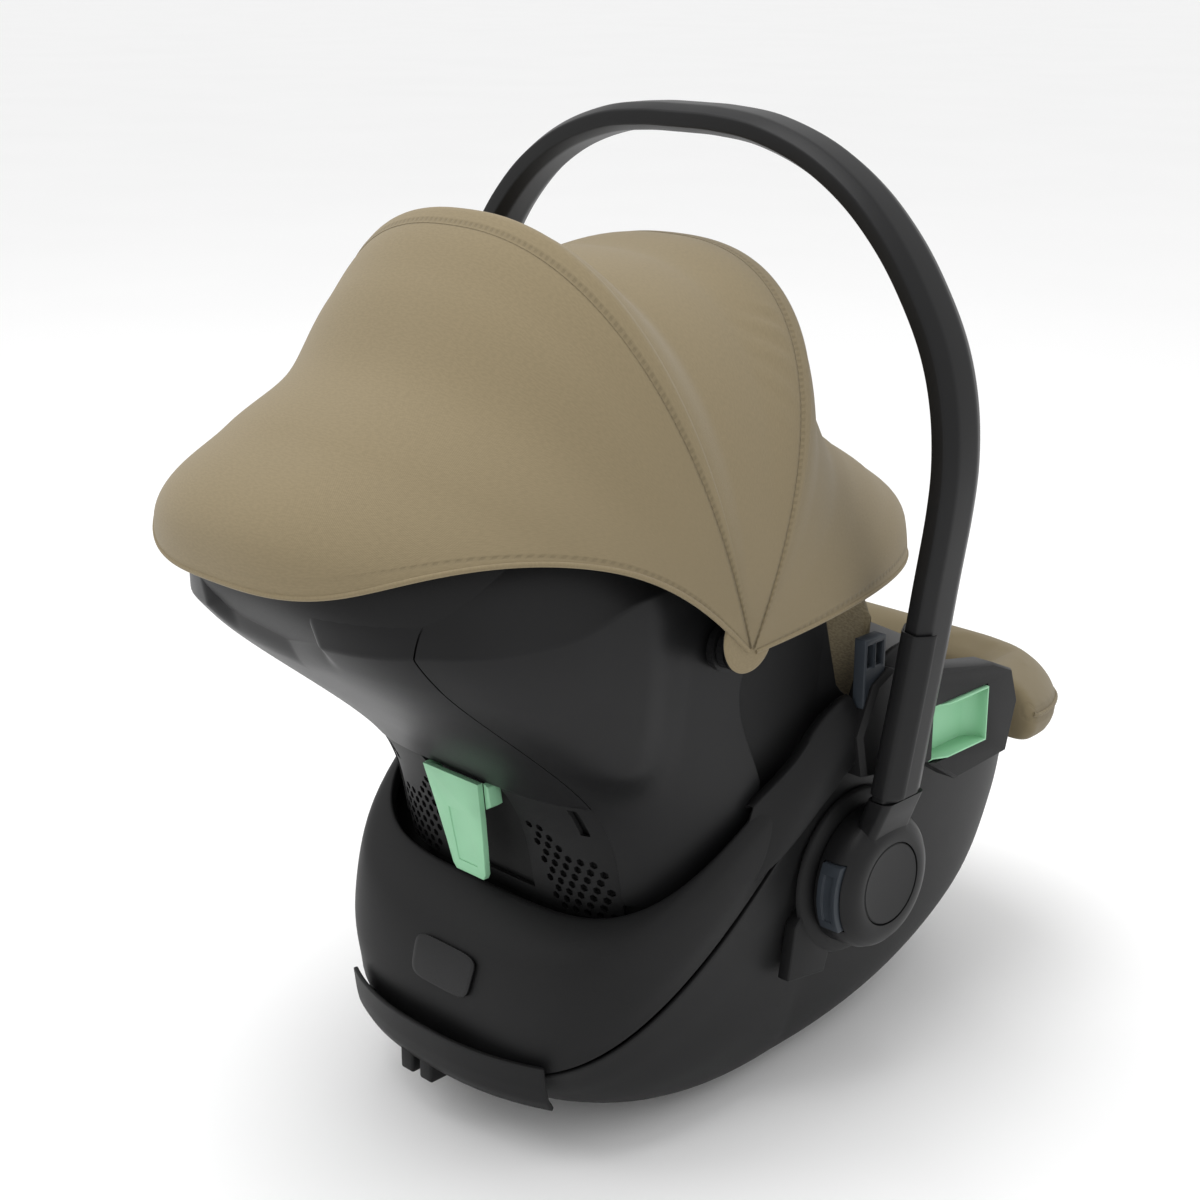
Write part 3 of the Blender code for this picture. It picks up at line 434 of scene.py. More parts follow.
def walled(piece, thickness):
    """Gives an open net a wall on its inner side."""
    return modify(piece, "SOLIDIFY", thickness=thickness, offset=-1, use_even_offset=True)


def faced_out(piece):
    edit(piece)
    bpy.ops.mesh.remove_doubles(threshold=0.00002)
    bpy.ops.mesh.normals_make_consistent(inside=False)
    bpy.ops.object.mode_set(mode="OBJECT")
    return piece


# %% [markdown]
# Two kinds of curve are needed: an even one through equally spaced values, for shell profiles, and
# one that keeps its peaks exactly where they are given, for the canopy's ridges and valleys.


# %% Curves through a few values
def even_curve(values, t):
    values = np.asarray(values, float)
    spans = len(values) - 1
    at = np.clip(t, 0, 1) * spans
    i = np.minimum(at.astype(int), spans - 1)
    u = at - i
    ends = np.concatenate([[2 * values[0] - values[1]], values, [2 * values[-1] - values[-2]]])
    p0, p1, p2, p3 = (ends[i + k] for k in range(4))
    return hermite(u, p1, p2, (p2 - p0) / 2, (p3 - p1) / 2)


def hermite(u, p1, p2, m1, m2):
    return ((2 * u**3 - 3 * u**2 + 1) * p1 + (u**3 - 2 * u**2 + u) * m1
            + (3 * u**2 - 2 * u**3) * p2 + (u**3 - u**2) * m2)


def peaked_curve(knots, values, x):
    """Through values at knots, level at every peak and valley, with no overshoot."""
    knots, values = np.asarray(knots, float), np.asarray(values, float)
    width = np.diff(knots)
    rise = np.diff(values) / width
    turn = rise[:-1] * rise[1:]
    inner = np.where(turn > 0, 2 * turn / np.where(turn > 0, rise[:-1] + rise[1:], 1), 0)
    slope = np.concatenate([[rise[0]], inner, [rise[-1]]])
    x = np.clip(x, knots[0], knots[-1])
    i = np.clip(np.searchsorted(knots, x, side="right") - 1, 0, len(knots) - 2)
    u = (x - knots[i]) / width[i]
    return hermite(u, values[i], values[i + 1], slope[i] * width[i], slope[i + 1] * width[i])


def smooth(low, high, x):
    """0 below low, 1 above high, and smooth between."""
    t = np.clip((x - low) / (high - low), 0, 1)
    return t * t * (3 - 2 * t)


def power(value, exponent):
    return np.sign(value) * np.abs(value) ** exponent


# %% [markdown]
# ## Shell forms
# Each shell is a squared oval that grows from its floor to its rim. One profile is given for the
# side, one for the head end and one for the foot end, as pairs of reach and height, and the
# surface turns smoothly from one to the next. How square the oval is also changes with height.

# %% Profiles of the shells, in metres
BASE = {
    "centre": 0.030, "square": [2.5, 2.7, 3.2, 3.4],
    "side": [(0, 0.008), (0.085, 0.008), (0.112, 0.020), (0.130, 0.070), (0.1395, 0.148), (0.1465, 0.2215)],
    "head": [(0, 0.008), (0.095, 0.008), (0.135, 0.014), (0.165, 0.028), (0.184, 0.042), (0.193, 0.0565)],
    "foot": [(0, 0.008), (0.125, 0.008), (0.205, 0.026), (0.264, 0.062), (0.290, 0.114), (0.295, 0.174)],
    "rise_head": 0.55, "rise_foot": 1.5,
}
COLLAR = {
    "centre": 0.030, "square": [3.3, 3.5, 3.9, 4.2],
    "side": [(0.1470, 0.2230), (0.1505, 0.231), (0.1495, 0.242), (0.1440, 0.250), (0.1400, 0.246)],
    "head": [(0.1940, 0.0580), (0.1935, 0.090), (0.1800, 0.130), (0.1550, 0.153), (0.1480, 0.148)],
    "foot": [(0.1940, 0.0580), (0.1935, 0.090), (0.1800, 0.130), (0.1550, 0.153), (0.1480, 0.148)],
    "rise_head": 0.6, "rise_foot": 1.0,
}
TUB = {
    "centre": 0.030, "square": [2.6, 3.6, 4.0, 3.4, 3.2, 2.6], "square_foot": [2.6, 3.6, 4.0, 4.2, 4.6, 4.8],
    "side": [(0, 0.030), (0.075, 0.032), (0.105, 0.062), (0.1225, 0.138), (0.1310, 0.205), (0.1360, 0.255),
             (0.1395, 0.290), (0.1420, 0.325)],
    "head": [(0, 0.030), (0.085, 0.032), (0.115, 0.062), (0.136, 0.148), (0.168, 0.238), (0.298, 0.354),
             (0.321, 0.402), (0.292, 0.450)],
    "foot": [(0, 0.030), (0.090, 0.034), (0.150, 0.065), (0.210, 0.108), (0.252, 0.140), (0.276, 0.164),
             (0.284, 0.180), (0.282, 0.194)],
    "rise_head": 0.55, "rise_foot": 0.141,
}
SEAT = {
    "centre": -0.020, "square": [2.5, 2.7, 2.7],
    "side": [(0, 0.075), (0.062, 0.078), (0.096, 0.102), (0.110, 0.155), (0.119, 0.220), (0.125, 0.275),
             (0.129, 0.312)],
    "head": [(0, 0.075), (0.048, 0.100), (0.108, 0.155), (0.186, 0.234), (0.262, 0.312), (0.318, 0.376),
             (0.324, 0.426)],
    "foot": [(0, 0.075), (0.058, 0.079), (0.108, 0.094), (0.152, 0.116), (0.190, 0.140), (0.214, 0.162),
             (0.224, 0.182)],
    "rise_head": 0.6, "rise_foot": 0.32,
}


def profile(pairs, t, inward):
    """Reach and height at t, moved inward along the profile's normal."""
    reach, height = zip(*pairs)
    dr = even_curve(reach, t + 0.01) - even_curve(reach, t - 0.01)
    dh = even_curve(height, t + 0.01) - even_curve(height, t - 0.01)
    length = np.hypot(dr, dh)
    moved_reach = even_curve(reach, t) - inward * dh / length
    return np.maximum(moved_reach, 0), even_curve(height, t) + inward * dr / length


def on_shell(form, t, angle, inward=0.0):
    """Points on a shell: t from floor to rim, angle in degrees from +X towards +Y."""
    t, angle = np.broadcast_arrays(np.asarray(t, float), np.asarray(angle, float))
    c, s = np.cos(np.radians(angle)), np.sin(np.radians(angle))
    side_reach, side_height = profile(form["side"], t, inward)
    head, foot = profile(form["head"], t, inward), profile(form["foot"], t, inward)
    end_reach, end_height = (np.where(s >= 0, head[k], foot[k]) for k in (0, 1))
    square_foot = form.get("square_foot", form["square"])
    bend = 2 / np.where(s >= 0, even_curve(form["square"], t), even_curve(square_foot, t))
    weight = np.abs(s) ** np.where(s >= 0, form["rise_head"], form["rise_foot"])
    return np.stack([side_reach * power(c, bend), form["centre"] + end_reach * power(s, bend),
                     side_height + (end_height - side_height) * weight], axis=-1)


def evenly(form, t, start, end, count, inward=0.0):
    """Angles from start to end that put points at even distances round the shell."""
    fine = np.linspace(start, end, 2000)
    run = run_along(on_shell(form, t, fine, inward))
    return np.interp(np.linspace(0, run[-1], count), run, fine)


def shell_net(name, form, levels, angles, inward=0.0, ring=False):
    return net(name, on_shell(form, np.asarray(levels)[:, None], np.asarray(angles)[None, :], inward), ring)


# %% [markdown]
# ## Lower shell
# The base is one moulding, like a boat's hull, with a rounded underside so that it can be rocked.
# Its floor is closed with a fan of faces, and the whole net then gets a wall.

# %% Make the lower shell
HULL_WALL, TUB_WALL, PANEL_WALL = 0.0028, 0.0025, 0.0024
EDGE_ANGLE = 50


def closed_floor(piece, columns):
    """Fills the hole in the middle of a shell's floor."""
    picked(piece, slice(columns))
    bpy.ops.mesh.edge_face_add()
    bpy.ops.mesh.poke()
    bpy.ops.object.mode_set(mode="OBJECT")
    return piece


def bowl(name, form, levels, thickness, columns=168):
    angles = evenly(form, 0.8, 0, 360, columns + 1)[:-1]
    piece = shell_net(name, form, levels, angles, ring=True)
    return rounded(walled(closed_floor(piece, columns), thickness), 0.0008, 2, EDGE_ANGLE)


hull = bowl("hull", BASE, np.linspace(0.16, 1, 44), HULL_WALL)
settle(hull, "hull", "carrier", "shell_black", "lower_shell")
tub = bowl("tub", TUB, np.linspace(0.14, 1, 56), TUB_WALL)
settle(tub, "tub", "carrier", "shell_black", "seat_tub")

# %% [markdown]
# ## Collar band
# A separate band closes the gap between the base and the seat behind the head and up both sides.
# It is convex, with a tight roll at its upper edge, so light runs along it in one unbroken line.

# %% Make the collar band
collar_angles = evenly(COLLAR, 0.4, 2, 178, 200)
collar = walled(shell_net("collar", COLLAR, np.linspace(0, 1, 40), collar_angles), PANEL_WALL)
settle(rounded(collar, 0.0007, 3, EDGE_ANGLE), "collar", "carrier", "shell_black", "collar_band")

# %% [markdown]
# On each side the collar runs on as an arm that climbs over the hub to the rim. Inside, a dark deck
# closes the gap between the tub and the outer shells, so that no light shows through.

# %% Add the arms and the deck
ARM_BULGE = 0.0045
ARM = (((0.1430, 0.095, 0.2215), (0.1430, 0.118, 0.165)), ((0.1500, 0.066, 0.243), (0.1530, 0.080, 0.186)),
       ((0.1520, 0.044, 0.263), (0.1575, 0.046, 0.212)), ((0.1540, 0.029, 0.2725), (0.1600, 0.020, 0.232)),
       ((0.1545, 0.0190, 0.2755), (0.1605, 0.0100, 0.239)))
top_edge, low_edge = (np.array([pair[k] for pair in ARM]) for k in (0, 1))
share = np.linspace(0, 1, 40)
top_line = np.stack([even_curve(top_edge[:, k], share) for k in range(3)], axis=-1)
low_line = np.stack([even_curve(low_edge[:, k], share) for k in range(3)], axis=-1)
for side, sign in SIDES:
    rows = [top_line - [0.0080, 0, 0.0015], top_line - [0.0030, 0, -0.0008]]
    for v in np.linspace(0, 1, 14):
        bulge = ARM_BULGE * math.sin(math.pi * v) * smooth(0, 0.5, share)
        rows.append(top_line + (low_line - top_line) * v + np.outer(bulge, [1, 0, 0]))
    rows.append(low_line - [0.0060, 0, 0.0030])
    arm = walled(net("arm", [row[::sign] * [sign, 1, 1] for row in rows]), 0.0022)
    settle(rounded(arm, 0.0006, 3, EDGE_ANGLE), f"collar_arm_{side}", "carrier", "shell_black", angle=EDGE_ANGLE)

deck_angles = np.linspace(0, 360, 181)[:-1]
ends = np.abs(np.sin(np.radians(deck_angles)))
behind = deck_angles < 180
inside = on_shell(TUB, np.where(behind, 0.62 - 0.26 * ends**0.55, 0.58), deck_angles, -0.0003)
outside = np.where(behind[:, None], on_shell(COLLAR, 0.22, deck_angles, 0.0030),
                   on_shell(BASE, 0.96, deck_angles, 0.0034))
deck = net("deck", [inside + (outside - inside) * v for v in np.linspace(0, 1, 6)], ring=True)
settle(walled(deck, 0.0015), "inner_deck", "carrier", "foot_rubber", angle=60)

# %% [markdown]
# ## Head shell
# The head shell is three mouldings: a centre one and one for each side, with a fine seam between.
# Each side is scooped above a crease, and bulges below it, so it reads as two surfaces that meet in
# one line. The relief is a distance inward, worked out from where a point lies.

# %% Shape the head shell
PANEL_OUT, SEAM_X, SEAM_GAP = 0.0062, 0.099, 0.0003
LIP_Z, CREASE_Z, SIDE_FRONT_Y, SIDE_FOOT_Z = 0.2360, 0.362, 0.084, 0.165
SCOOP, BULGE, GRIP = 0.011, 0.007, 0.008


def head_relief(points):
    x, y, z = np.abs(points[..., 0]), points[..., 1], points[..., 2]
    crease = CREASE_Z + 0.014 * smooth(0.25, 0.17, y)
    above = np.maximum(z - crease, 0)
    scoop = SCOOP * (1 - np.exp(-above / 0.018)) * smooth(0.150, 0.185, y)
    bulge = BULGE * smooth(0.150, 0.190, y) * smooth(0.236, 0.275, z) * smooth(0.10, 0.135, x)
    grip = GRIP * smooth(0.052, 0.040, x) * smooth(0.331, 0.352, z - 0.25 * x) * smooth(0.384, 0.379, z)
    return scoop + grip - bulge


def head_net(name, levels, angles):
    """A panel outside the tub, with its relief."""
    t, angle = np.asarray(levels)[:, None], np.asarray(angles)[None, :]
    face, back = on_shell(TUB, t, angle, -PANEL_OUT), on_shell(TUB, t, angle, -PANEL_OUT + 0.001)
    inward = (back - face) / 0.001
    return net(name, face + inward * head_relief(face)[..., None])


def cut(piece, point, normal):
    """Cuts away what lies on the normal's side of a plane."""
    edit(piece)
    bpy.ops.mesh.bisect(plane_co=point, plane_no=normal, clear_outer=True, use_fill=False)
    bpy.ops.object.mode_set(mode="OBJECT")
    return piece


head_levels = np.concatenate([np.linspace(0.50, 0.70, 40), np.linspace(0.705, 0.99, 90)])
centre_angles = evenly(TUB, 0.75, 50, 130, 150)
centre = head_net("head_centre", head_levels, centre_angles)
for side, sign in SIDES:
    cut(centre, (sign * (SEAM_X - SEAM_GAP), 0, 0), (sign, 0, 0))
cut(centre, (0, 0, LIP_Z), (0, 0, -1))
walled(centre, PANEL_WALL)
settle(rounded(centre, 0.0006, 3, EDGE_ANGLE), "head_centre", "carrier", "satin_black", "head_shell_centre")

side_levels = np.concatenate([np.linspace(0.36, 0.70, 70), np.linspace(0.705, 0.99, 90)])
for side, sign in SIDES:
    span = evenly(TUB, 0.75, 6, 90, 190) if sign > 0 else evenly(TUB, 0.75, 90, 174, 190)
    panel = head_net("head_side", side_levels, span)
    cut(panel, (sign * (SEAM_X + SEAM_GAP), 0, 0), (-sign, 0, 0))
    cut(panel, (0, SIDE_FRONT_Y, 0), (0, -1, 0))
    cut(panel, (0, 0, SIDE_FOOT_Z), (0, 0, -1))
    walled(panel, PANEL_WALL)
    settle(rounded(panel, 0.0006, 3, EDGE_ANGLE), f"head_side_{side}", "carrier", "satin_black",
           f"head_shell_{side}")

# %% [markdown]
# ## Rear cover with its vents
# Below the head shell an upright cover closes the back. It has a pocket for the green hook and a
# slanting patch of small six-sided vents on each side. One vent is made and copied over the patch,
# and all of them are cut at once with one exact Boolean.

# %% Make the rear cover
VENT_PITCH, VENT_ROW, VENT_RADIUS = 0.0084, 0.0060, 0.0027
VENT_TOP, VENT_FIRST, VENT_LAST, VENT_DEPTH_Y = 0.2085, 0.0435, 0.0955, 0.178
COVER_GAP_X, COVER_FOOT_Z = 0.0004, 0.1506


def boolean(piece, tool, operation="DIFFERENCE"):
    modify(piece, "BOOLEAN", object=tool, operation=operation, solver="EXACT")
    bpy.data.objects.remove(tool, do_unlink=True)
    return piece


def box(low, high):
    """A plain box between two corners, used as a cutter or as a blank."""
    low, high = Vector(low), Vector(high)
    bpy.ops.object.select_all(action="DESELECT")
    bpy.ops.mesh.primitive_cube_add(size=1, location=(low + high) / 2, scale=[abs(v) for v in high - low])
    made = bpy.context.object
    bpy.ops.object.transform_apply(location=True, rotation=True, scale=True)
    return made


def side_box(sign, x, y, z):
    return box((sign * x[0], y[0], z[0]), (sign * x[1], y[1], z[1]))


def vent_patch(sign):
    """Six-sided punches in staggered rows that step outwards as they go down."""
    bpy.ops.object.select_all(action="DESELECT")
    bpy.ops.mesh.primitive_cylinder_add(vertices=6, radius=VENT_RADIUS, depth=0.06,
                                        rotation=(math.radians(90), 0, 0))
    model = bpy.context.object
    punches = []
    for row in range(10):
        first = VENT_FIRST + 0.0013 * row
        for column in range(2 + row // 2 + 2 * (row > 2)):
            x = first + (column + 0.5 * (row % 2)) * VENT_PITCH
            if x <= VENT_LAST:
                punch = model.copy()
                punch.data = model.data.copy()
                punch.location = (sign * x, VENT_DEPTH_Y, VENT_TOP - row * VENT_ROW)
                bpy.context.scene.collection.objects.link(punch)
                punches.append(punch)
    bpy.data.objects.remove(model, do_unlink=True)
    bpy.ops.object.select_all(action="DESELECT")
    for punch in punches:
        punch.select_set(True)
    bpy.context.view_layer.objects.active = punches[0]
    bpy.ops.object.join()
    bpy.ops.object.transform_apply(location=True, rotation=True, scale=True)
    print(len(punches), "vents")
    return bpy.context.object


cover_angles = evenly(TUB, 0.5, 34, 146, 60)
cover = shell_net("rear_panel", TUB, np.linspace(0.40, 0.64, 16), cover_angles, -PANEL_OUT + 0.0008)
for side, sign in SIDES:
    cut(cover, (sign * (SEAM_X - COVER_GAP_X), 0, 0), (sign, 0, 0))
cut(cover, (0, 0, LIP_Z - 0.0006), (0, 0, 1))
cut(cover, (0, 0, COVER_FOOT_Z), (0, 0, -1))
walled(cover, PANEL_WALL)
boolean(cover, box((-0.036, 0.12, 0.160), (0.036, 0.26, 0.25)))
for side, sign in SIDES:
    boolean(cover, vent_patch(sign))
    boolean(cover, side_box(sign, (0.0825, 0.0885), (0.15, 0.25), (0.212, 0.232)))
settle(cover, "rear_panel", "carrier", "shell_black", "rear_cover", angle=30)
backing_angles = evenly(TUB, 0.5, 40, 140, 40)
backing = shell_net("vent_backing", TUB, np.linspace(0.40, 0.62, 10), backing_angles, -0.0006)
settle(walled(backing, 0.0004), "vent_backing", "carrier", "foot_rubber")

# %% [markdown]
# ## Belt hook
# The shoulder belt is led behind this hook, so it is the one bright colour on the back: it has to
# be found without looking. It hangs from a root under the head shell, narrows downwards, and has a
# flange along one side and a shallow thumb recess.

# %% Make the belt hook
root_low, root_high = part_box("rear_belt_hook")


def extruded(name, outline, depth_from, depth_to, flat="y"):
    """A plate: its outline as (across, up) pairs, pushed through from one depth to another."""
    place = {"y": lambda a, b, d: (a, d, b), "x": lambda a, b, d: (d, a, b)}[flat]
    points = [place(a, b, depth_from) for a, b in outline]
    piece = drawn(name, points, faces=[list(range(len(points)))])
    edit(piece)
    push = place(0, 0, depth_to - depth_from)
    bpy.ops.mesh.extrude_region_move(TRANSFORM_OT_translate={"value": push})
    bpy.ops.mesh.select_all(action="SELECT")
    bpy.ops.mesh.normals_make_consistent(inside=False)
    bpy.ops.object.mode_set(mode="OBJECT")
    return piece


def leant(piece):
    """Leans and bows an upright plate so that it follows the hook's line."""
    low_y, high_y = root_low.y + 0.0024, root_high.y - 0.0024
    for vertex in piece.data.vertices:
        share = (vertex.co.z - hook_low) / (hook_high - hook_low)
        vertex.co.y += low_y + (high_y - low_y) * share - HOOK_BOW * share * (1 - share)
    return piece


HOOK_BOW = 0.002
hook_low, hook_high = root_low.z, root_high.z
plate = extruded("belt_hook", [(-0.0250, hook_high), (0.0250, hook_high), (0.0150, hook_low + 0.004),
                               (0.0125, hook_low), (-0.0125, hook_low), (-0.0150, hook_low + 0.004)],
                 -0.0020, 0.0024)
edit(plate)
for height in (0.020, 0.045):
    bpy.ops.mesh.select_all(action="SELECT")
    bpy.ops.mesh.bisect(plane_co=(0, 0, hook_low + height), plane_no=(0, 0, 1))
bpy.ops.object.mode_set(mode="OBJECT")
boolean(plate, box((-0.0085, 0.0016, hook_low + 0.008), (0.0085, 0.01, hook_low + 0.046)))
settle(rounded(leant(plate), 0.0009, 3), "belt_hook", "carrier", "belt_green", "rear_belt_hook")
for side, sign in SIDES:
    flange = extruded("hook_flange", [(sign * 0.0252, hook_high), (sign * 0.0290, hook_high - 0.002),
                                      (sign * 0.0280, hook_high - 0.016), (sign * 0.0222, hook_high - 0.020)],
                      -0.0120, -0.0020)
    settle(rounded(faced_out(leant(flange)), 0.0006, 2), f"hook_flange_{side}", "carrier", "belt_green")

# %% [markdown]
# ## Ledge, badge and sole
# The ledge behind the base is a curved wall with a slot in front of it, with two small lugs under
# its rim. The badge is a blank rounded plate. The sole is already the right shape in the frame, so
# it only gets its rubber.

# %% Make the ledge and the badge
LEDGE_HALF, LEDGE_Y, LEDGE_BOW = 0.090, 0.2125, 0.0185
across = np.linspace(1, -1, 90)
bow = LEDGE_Y + LEDGE_BOW * (1 - np.abs(across) ** 2.4)
rows = []
for share in np.linspace(0, 1, 18):
    height = np.interp(share, [0, 0.25, 0.5, 1], [0.042, 0.049, 0.058, 0.074])
    out = np.interp(share, [0, 0.25, 0.5, 1], [0.0, 0.004, 0.006, 0.008])
    rows.append(np.stack([across * LEDGE_HALF, bow + out, np.full(len(bow), height)], axis=-1))
ledge = walled(net("ledge", rows), 0.003)
settle(rounded(ledge, 0.0008, 3, EDGE_ANGLE), "ledge", "carrier", "shell_black", "rear_bumper")
for index, x in enumerate((0.024, 0.006)):
    lug = box((x - 0.006, 0.214, 0.030), (x + 0.006, 0.232, 0.046))
    settle(rounded(lug, 0.002, 3), f"ledge_lug_{index}", "carrier", "shell_black")


def refinish(node, finish):
    """Gives a frame part its detailed finish and leaves its shape alone."""
    part = frame["nodes"][node]
    part.data.materials.clear()
    part.data.materials.append(LOOKS[finish])


refinish("base_sole", "foot_rubber")
BADGE_X, BADGE_T, BADGE_RISE, BADGE_CORNER = 0.0268, 0.365, 0.078, 0.42
fine = np.linspace(60, 120, 400)
fine_x = on_shell(COLLAR, BADGE_T, fine)[:, 0]
turn = np.linspace(0, 2 * math.pi, 72, endpoint=False)
across, up = power(np.cos(turn), BADGE_CORNER), power(np.sin(turn), BADGE_CORNER)
rings = []
for size in np.linspace(0.02, 1, 10):
    angles = np.interp(BADGE_X * size * across, fine_x[::-1], fine[::-1])
    rings.append(on_shell(COLLAR, BADGE_T + BADGE_RISE * size * up, angles, -0.0011))
badge = net("badge", rings[::-1], ring=True)
picked(badge, slice(-len(turn), None))
bpy.ops.mesh.merge(type="CENTER")
bpy.ops.object.mode_set(mode="OBJECT")
settle(rounded(walled(badge, 0.0014), 0.0004, 2, EDGE_ANGLE), "badge_plate", "carrier", "badge_grey", "badge")

# %% [markdown]
# ## Rim housings, clips and belt guides
# Each rim housing holds a green guide for the lap belt and a catch that is pulled up to release
# the seat from a stroller. The housing and the catch are boxy mouldings, so each one is a rounded
# copy of the frame's part. The hump beside the catch is a stretched ball, cut flat underneath and
# sunk into the housing. The guide is a scoop: a wall that curves round one corner, with a lip above,
# a floor below and a small tab to lead the belt in.

# %% Dress the rim housings
GUIDE_BACK, GUIDE_FRONT, GUIDE_MOUTH = 0.1530, 0.1686, 0.1640
HUMP_CENTRE, HUMP_SIZE, HUMP_FOOT = (0.156, -0.032, 0.275), (0.0100, 0.034, 0.024), 0.262
for side, sign in SIDES:
    housing = copied(f"rim_housing_{side}", 0.0050, 5)
    settle(housing, f"housing_{side}", "carrier", "shell_black", f"rim_housing_{side}", angle=30)
    low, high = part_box(f"side_belt_guide_{side}")
    bend = np.radians(np.linspace(0, 88, 14))
    corner_y = low.y + 0.0120
    path = [(GUIDE_BACK, y) for y in np.linspace(high.y - 0.0003, corner_y, 8)]
    path += [(GUIDE_BACK + 0.0120 * (1 - math.cos(a)), corner_y - 0.0117 * math.sin(a)) for a in bend[1:]]
    path.append((GUIDE_FRONT, low.y + 0.0003))
    levels = np.linspace(low.z + 0.0004, high.z - 0.0016, 8)
    guide = net("guide", [[(sign * x, y, z) for x, y in path[::sign]] for z in levels])
    settle(rounded(walled(guide, 0.0013), 0.0004, 2), f"belt_guide_{side}", "carrier", "belt_green",
           f"side_belt_guide_{side}")
    lid = path + [(GUIDE_FRONT, high.y - 0.016), (GUIDE_MOUTH, high.y - 0.006), (GUIDE_MOUTH, high.y - 0.0003)]
    for name, z in (("guide_lip", high.z - 0.0015), ("guide_floor", low.z + 0.0011)):
        shelf = drawn(name, [(sign * x, y, z) for x, y in lid], faces=[list(range(len(lid)))])
        modify(faced_out(shelf), "SOLIDIFY", thickness=0.0014, offset=0)
        settle(rounded(faced_out(shelf), 0.0004, 2), f"{name}_{side}", "carrier", "belt_green")
    tab = side_box(sign, (0.1592, 0.1660), (high.y - 0.0090, high.y - 0.0010), (high.z - 0.001, high.z + 0.0105))
    settle(rounded(tab, 0.0014, 3), f"guide_tab_{side}", "carrier", "belt_green")
    clip = copied(f"rim_clip_{side}", 0.0011, 3)
    settle(clip, f"stroller_catch_{side}", f"rim_clip_{side}", "button_grey", f"rim_clip_{side}")
    bpy.ops.object.select_all(action="DESELECT")
    bpy.ops.mesh.primitive_uv_sphere_add(segments=48, ring_count=24, radius=1,
                                         location=(sign * HUMP_CENTRE[0], *HUMP_CENTRE[1:]), scale=HUMP_SIZE)
    hump = bpy.context.object
    edit(hump)
    bpy.ops.mesh.bisect(plane_co=(0, 0, HUMP_FOOT), plane_no=(0, 0, 1), use_fill=True, clear_inner=True)
    bpy.ops.object.mode_set(mode="OBJECT")
    settle(rounded(faced_out(hump), 0.002, 3, 40), f"housing_hump_{side}", "carrier", "shell_black")

# %% [markdown]
# ## Hubs
# A hub is turned work: a fixed drum, a head that turns on it, and a round cap. Each is one profile
# spun about the handle's axis. The head then has its neck joined on and a pocket cut for the
# release button. Last, its edges are rounded so that they catch a thin line of light.


# %% Turn the hubs
def turned(name, profile_pairs, steps=96):
    """Spins (radius, x) pairs about the handle's axis."""
    piece = drawn(name, [(x, radius, HUB_Z) for radius, x in profile_pairs],
                  [(i, i + 1) for i in range(len(profile_pairs) - 1)])
    edit(piece)
    bpy.ops.mesh.spin(steps=steps, angle=2 * math.pi, center=(0, 0, HUB_Z), axis=(1, 0, 0))
    bpy.ops.object.mode_set(mode="OBJECT")
    return faced_out(piece)


def arc_block(sign, inner, outer, half_height, x0, x1, count=25):
    """A curved block behind the axis, with level top and bottom."""
    heights = np.linspace(-half_height, half_height, count)
    outline = [(math.sqrt(inner**2 - h**2), HUB_Z + h) for h in heights]
    outline += [(math.sqrt(outer**2 - h**2), HUB_Z + h) for h in heights[::-1]]
    return extruded("arc_block", outline, sign * x0, sign * x1, "x")


HANDLE_LINE = [(0.1780, 0.062), (0.1840, 0.100), (0.1920, 0.150), (0.1990, 0.200), (0.2060, 0.248),
               (0.2080, 0.280), (0.2050, 0.312), (0.1965, 0.342), (0.1820, 0.370), (0.1620, 0.398),
               (0.1350, 0.424), (0.1020, 0.444), (0.0640, 0.4565), (0.0300, 0.4605), (0.0, 0.461)]


def oblong(centre, out, width, depth, corner, count=9):
    """A rounded rectangle round a point: width along out, depth along Y."""
    ring = []
    for k, (a, b) in enumerate(((1, 1), (-1, 1), (-1, -1), (1, -1))):
        middle = np.array([a * (width / 2 - corner), b * (depth / 2 - corner)])
        for turn in np.radians(np.linspace(90 * k, 90 * k + 90, count)):
            along, back = middle + corner * np.array([math.cos(turn), math.sin(turn)])
            ring.append(centre + out * along + np.array([0, back, 0]))
    return ring


def lofted(name, rings):
    """A closed skin over rings of points, with both ends filled."""
    piece = net(name, rings, ring=True)
    edit(piece)
    bpy.ops.mesh.select_all(action="DESELECT")
    bpy.ops.mesh.select_mode(type="EDGE")
    bpy.ops.mesh.select_non_manifold()
    bpy.ops.mesh.fill_holes(sides=0)
    bpy.ops.mesh.select_all(action="SELECT")
    bpy.ops.mesh.normals_make_consistent(inside=False)
    bpy.ops.object.mode_set(mode="OBJECT")
    return piece


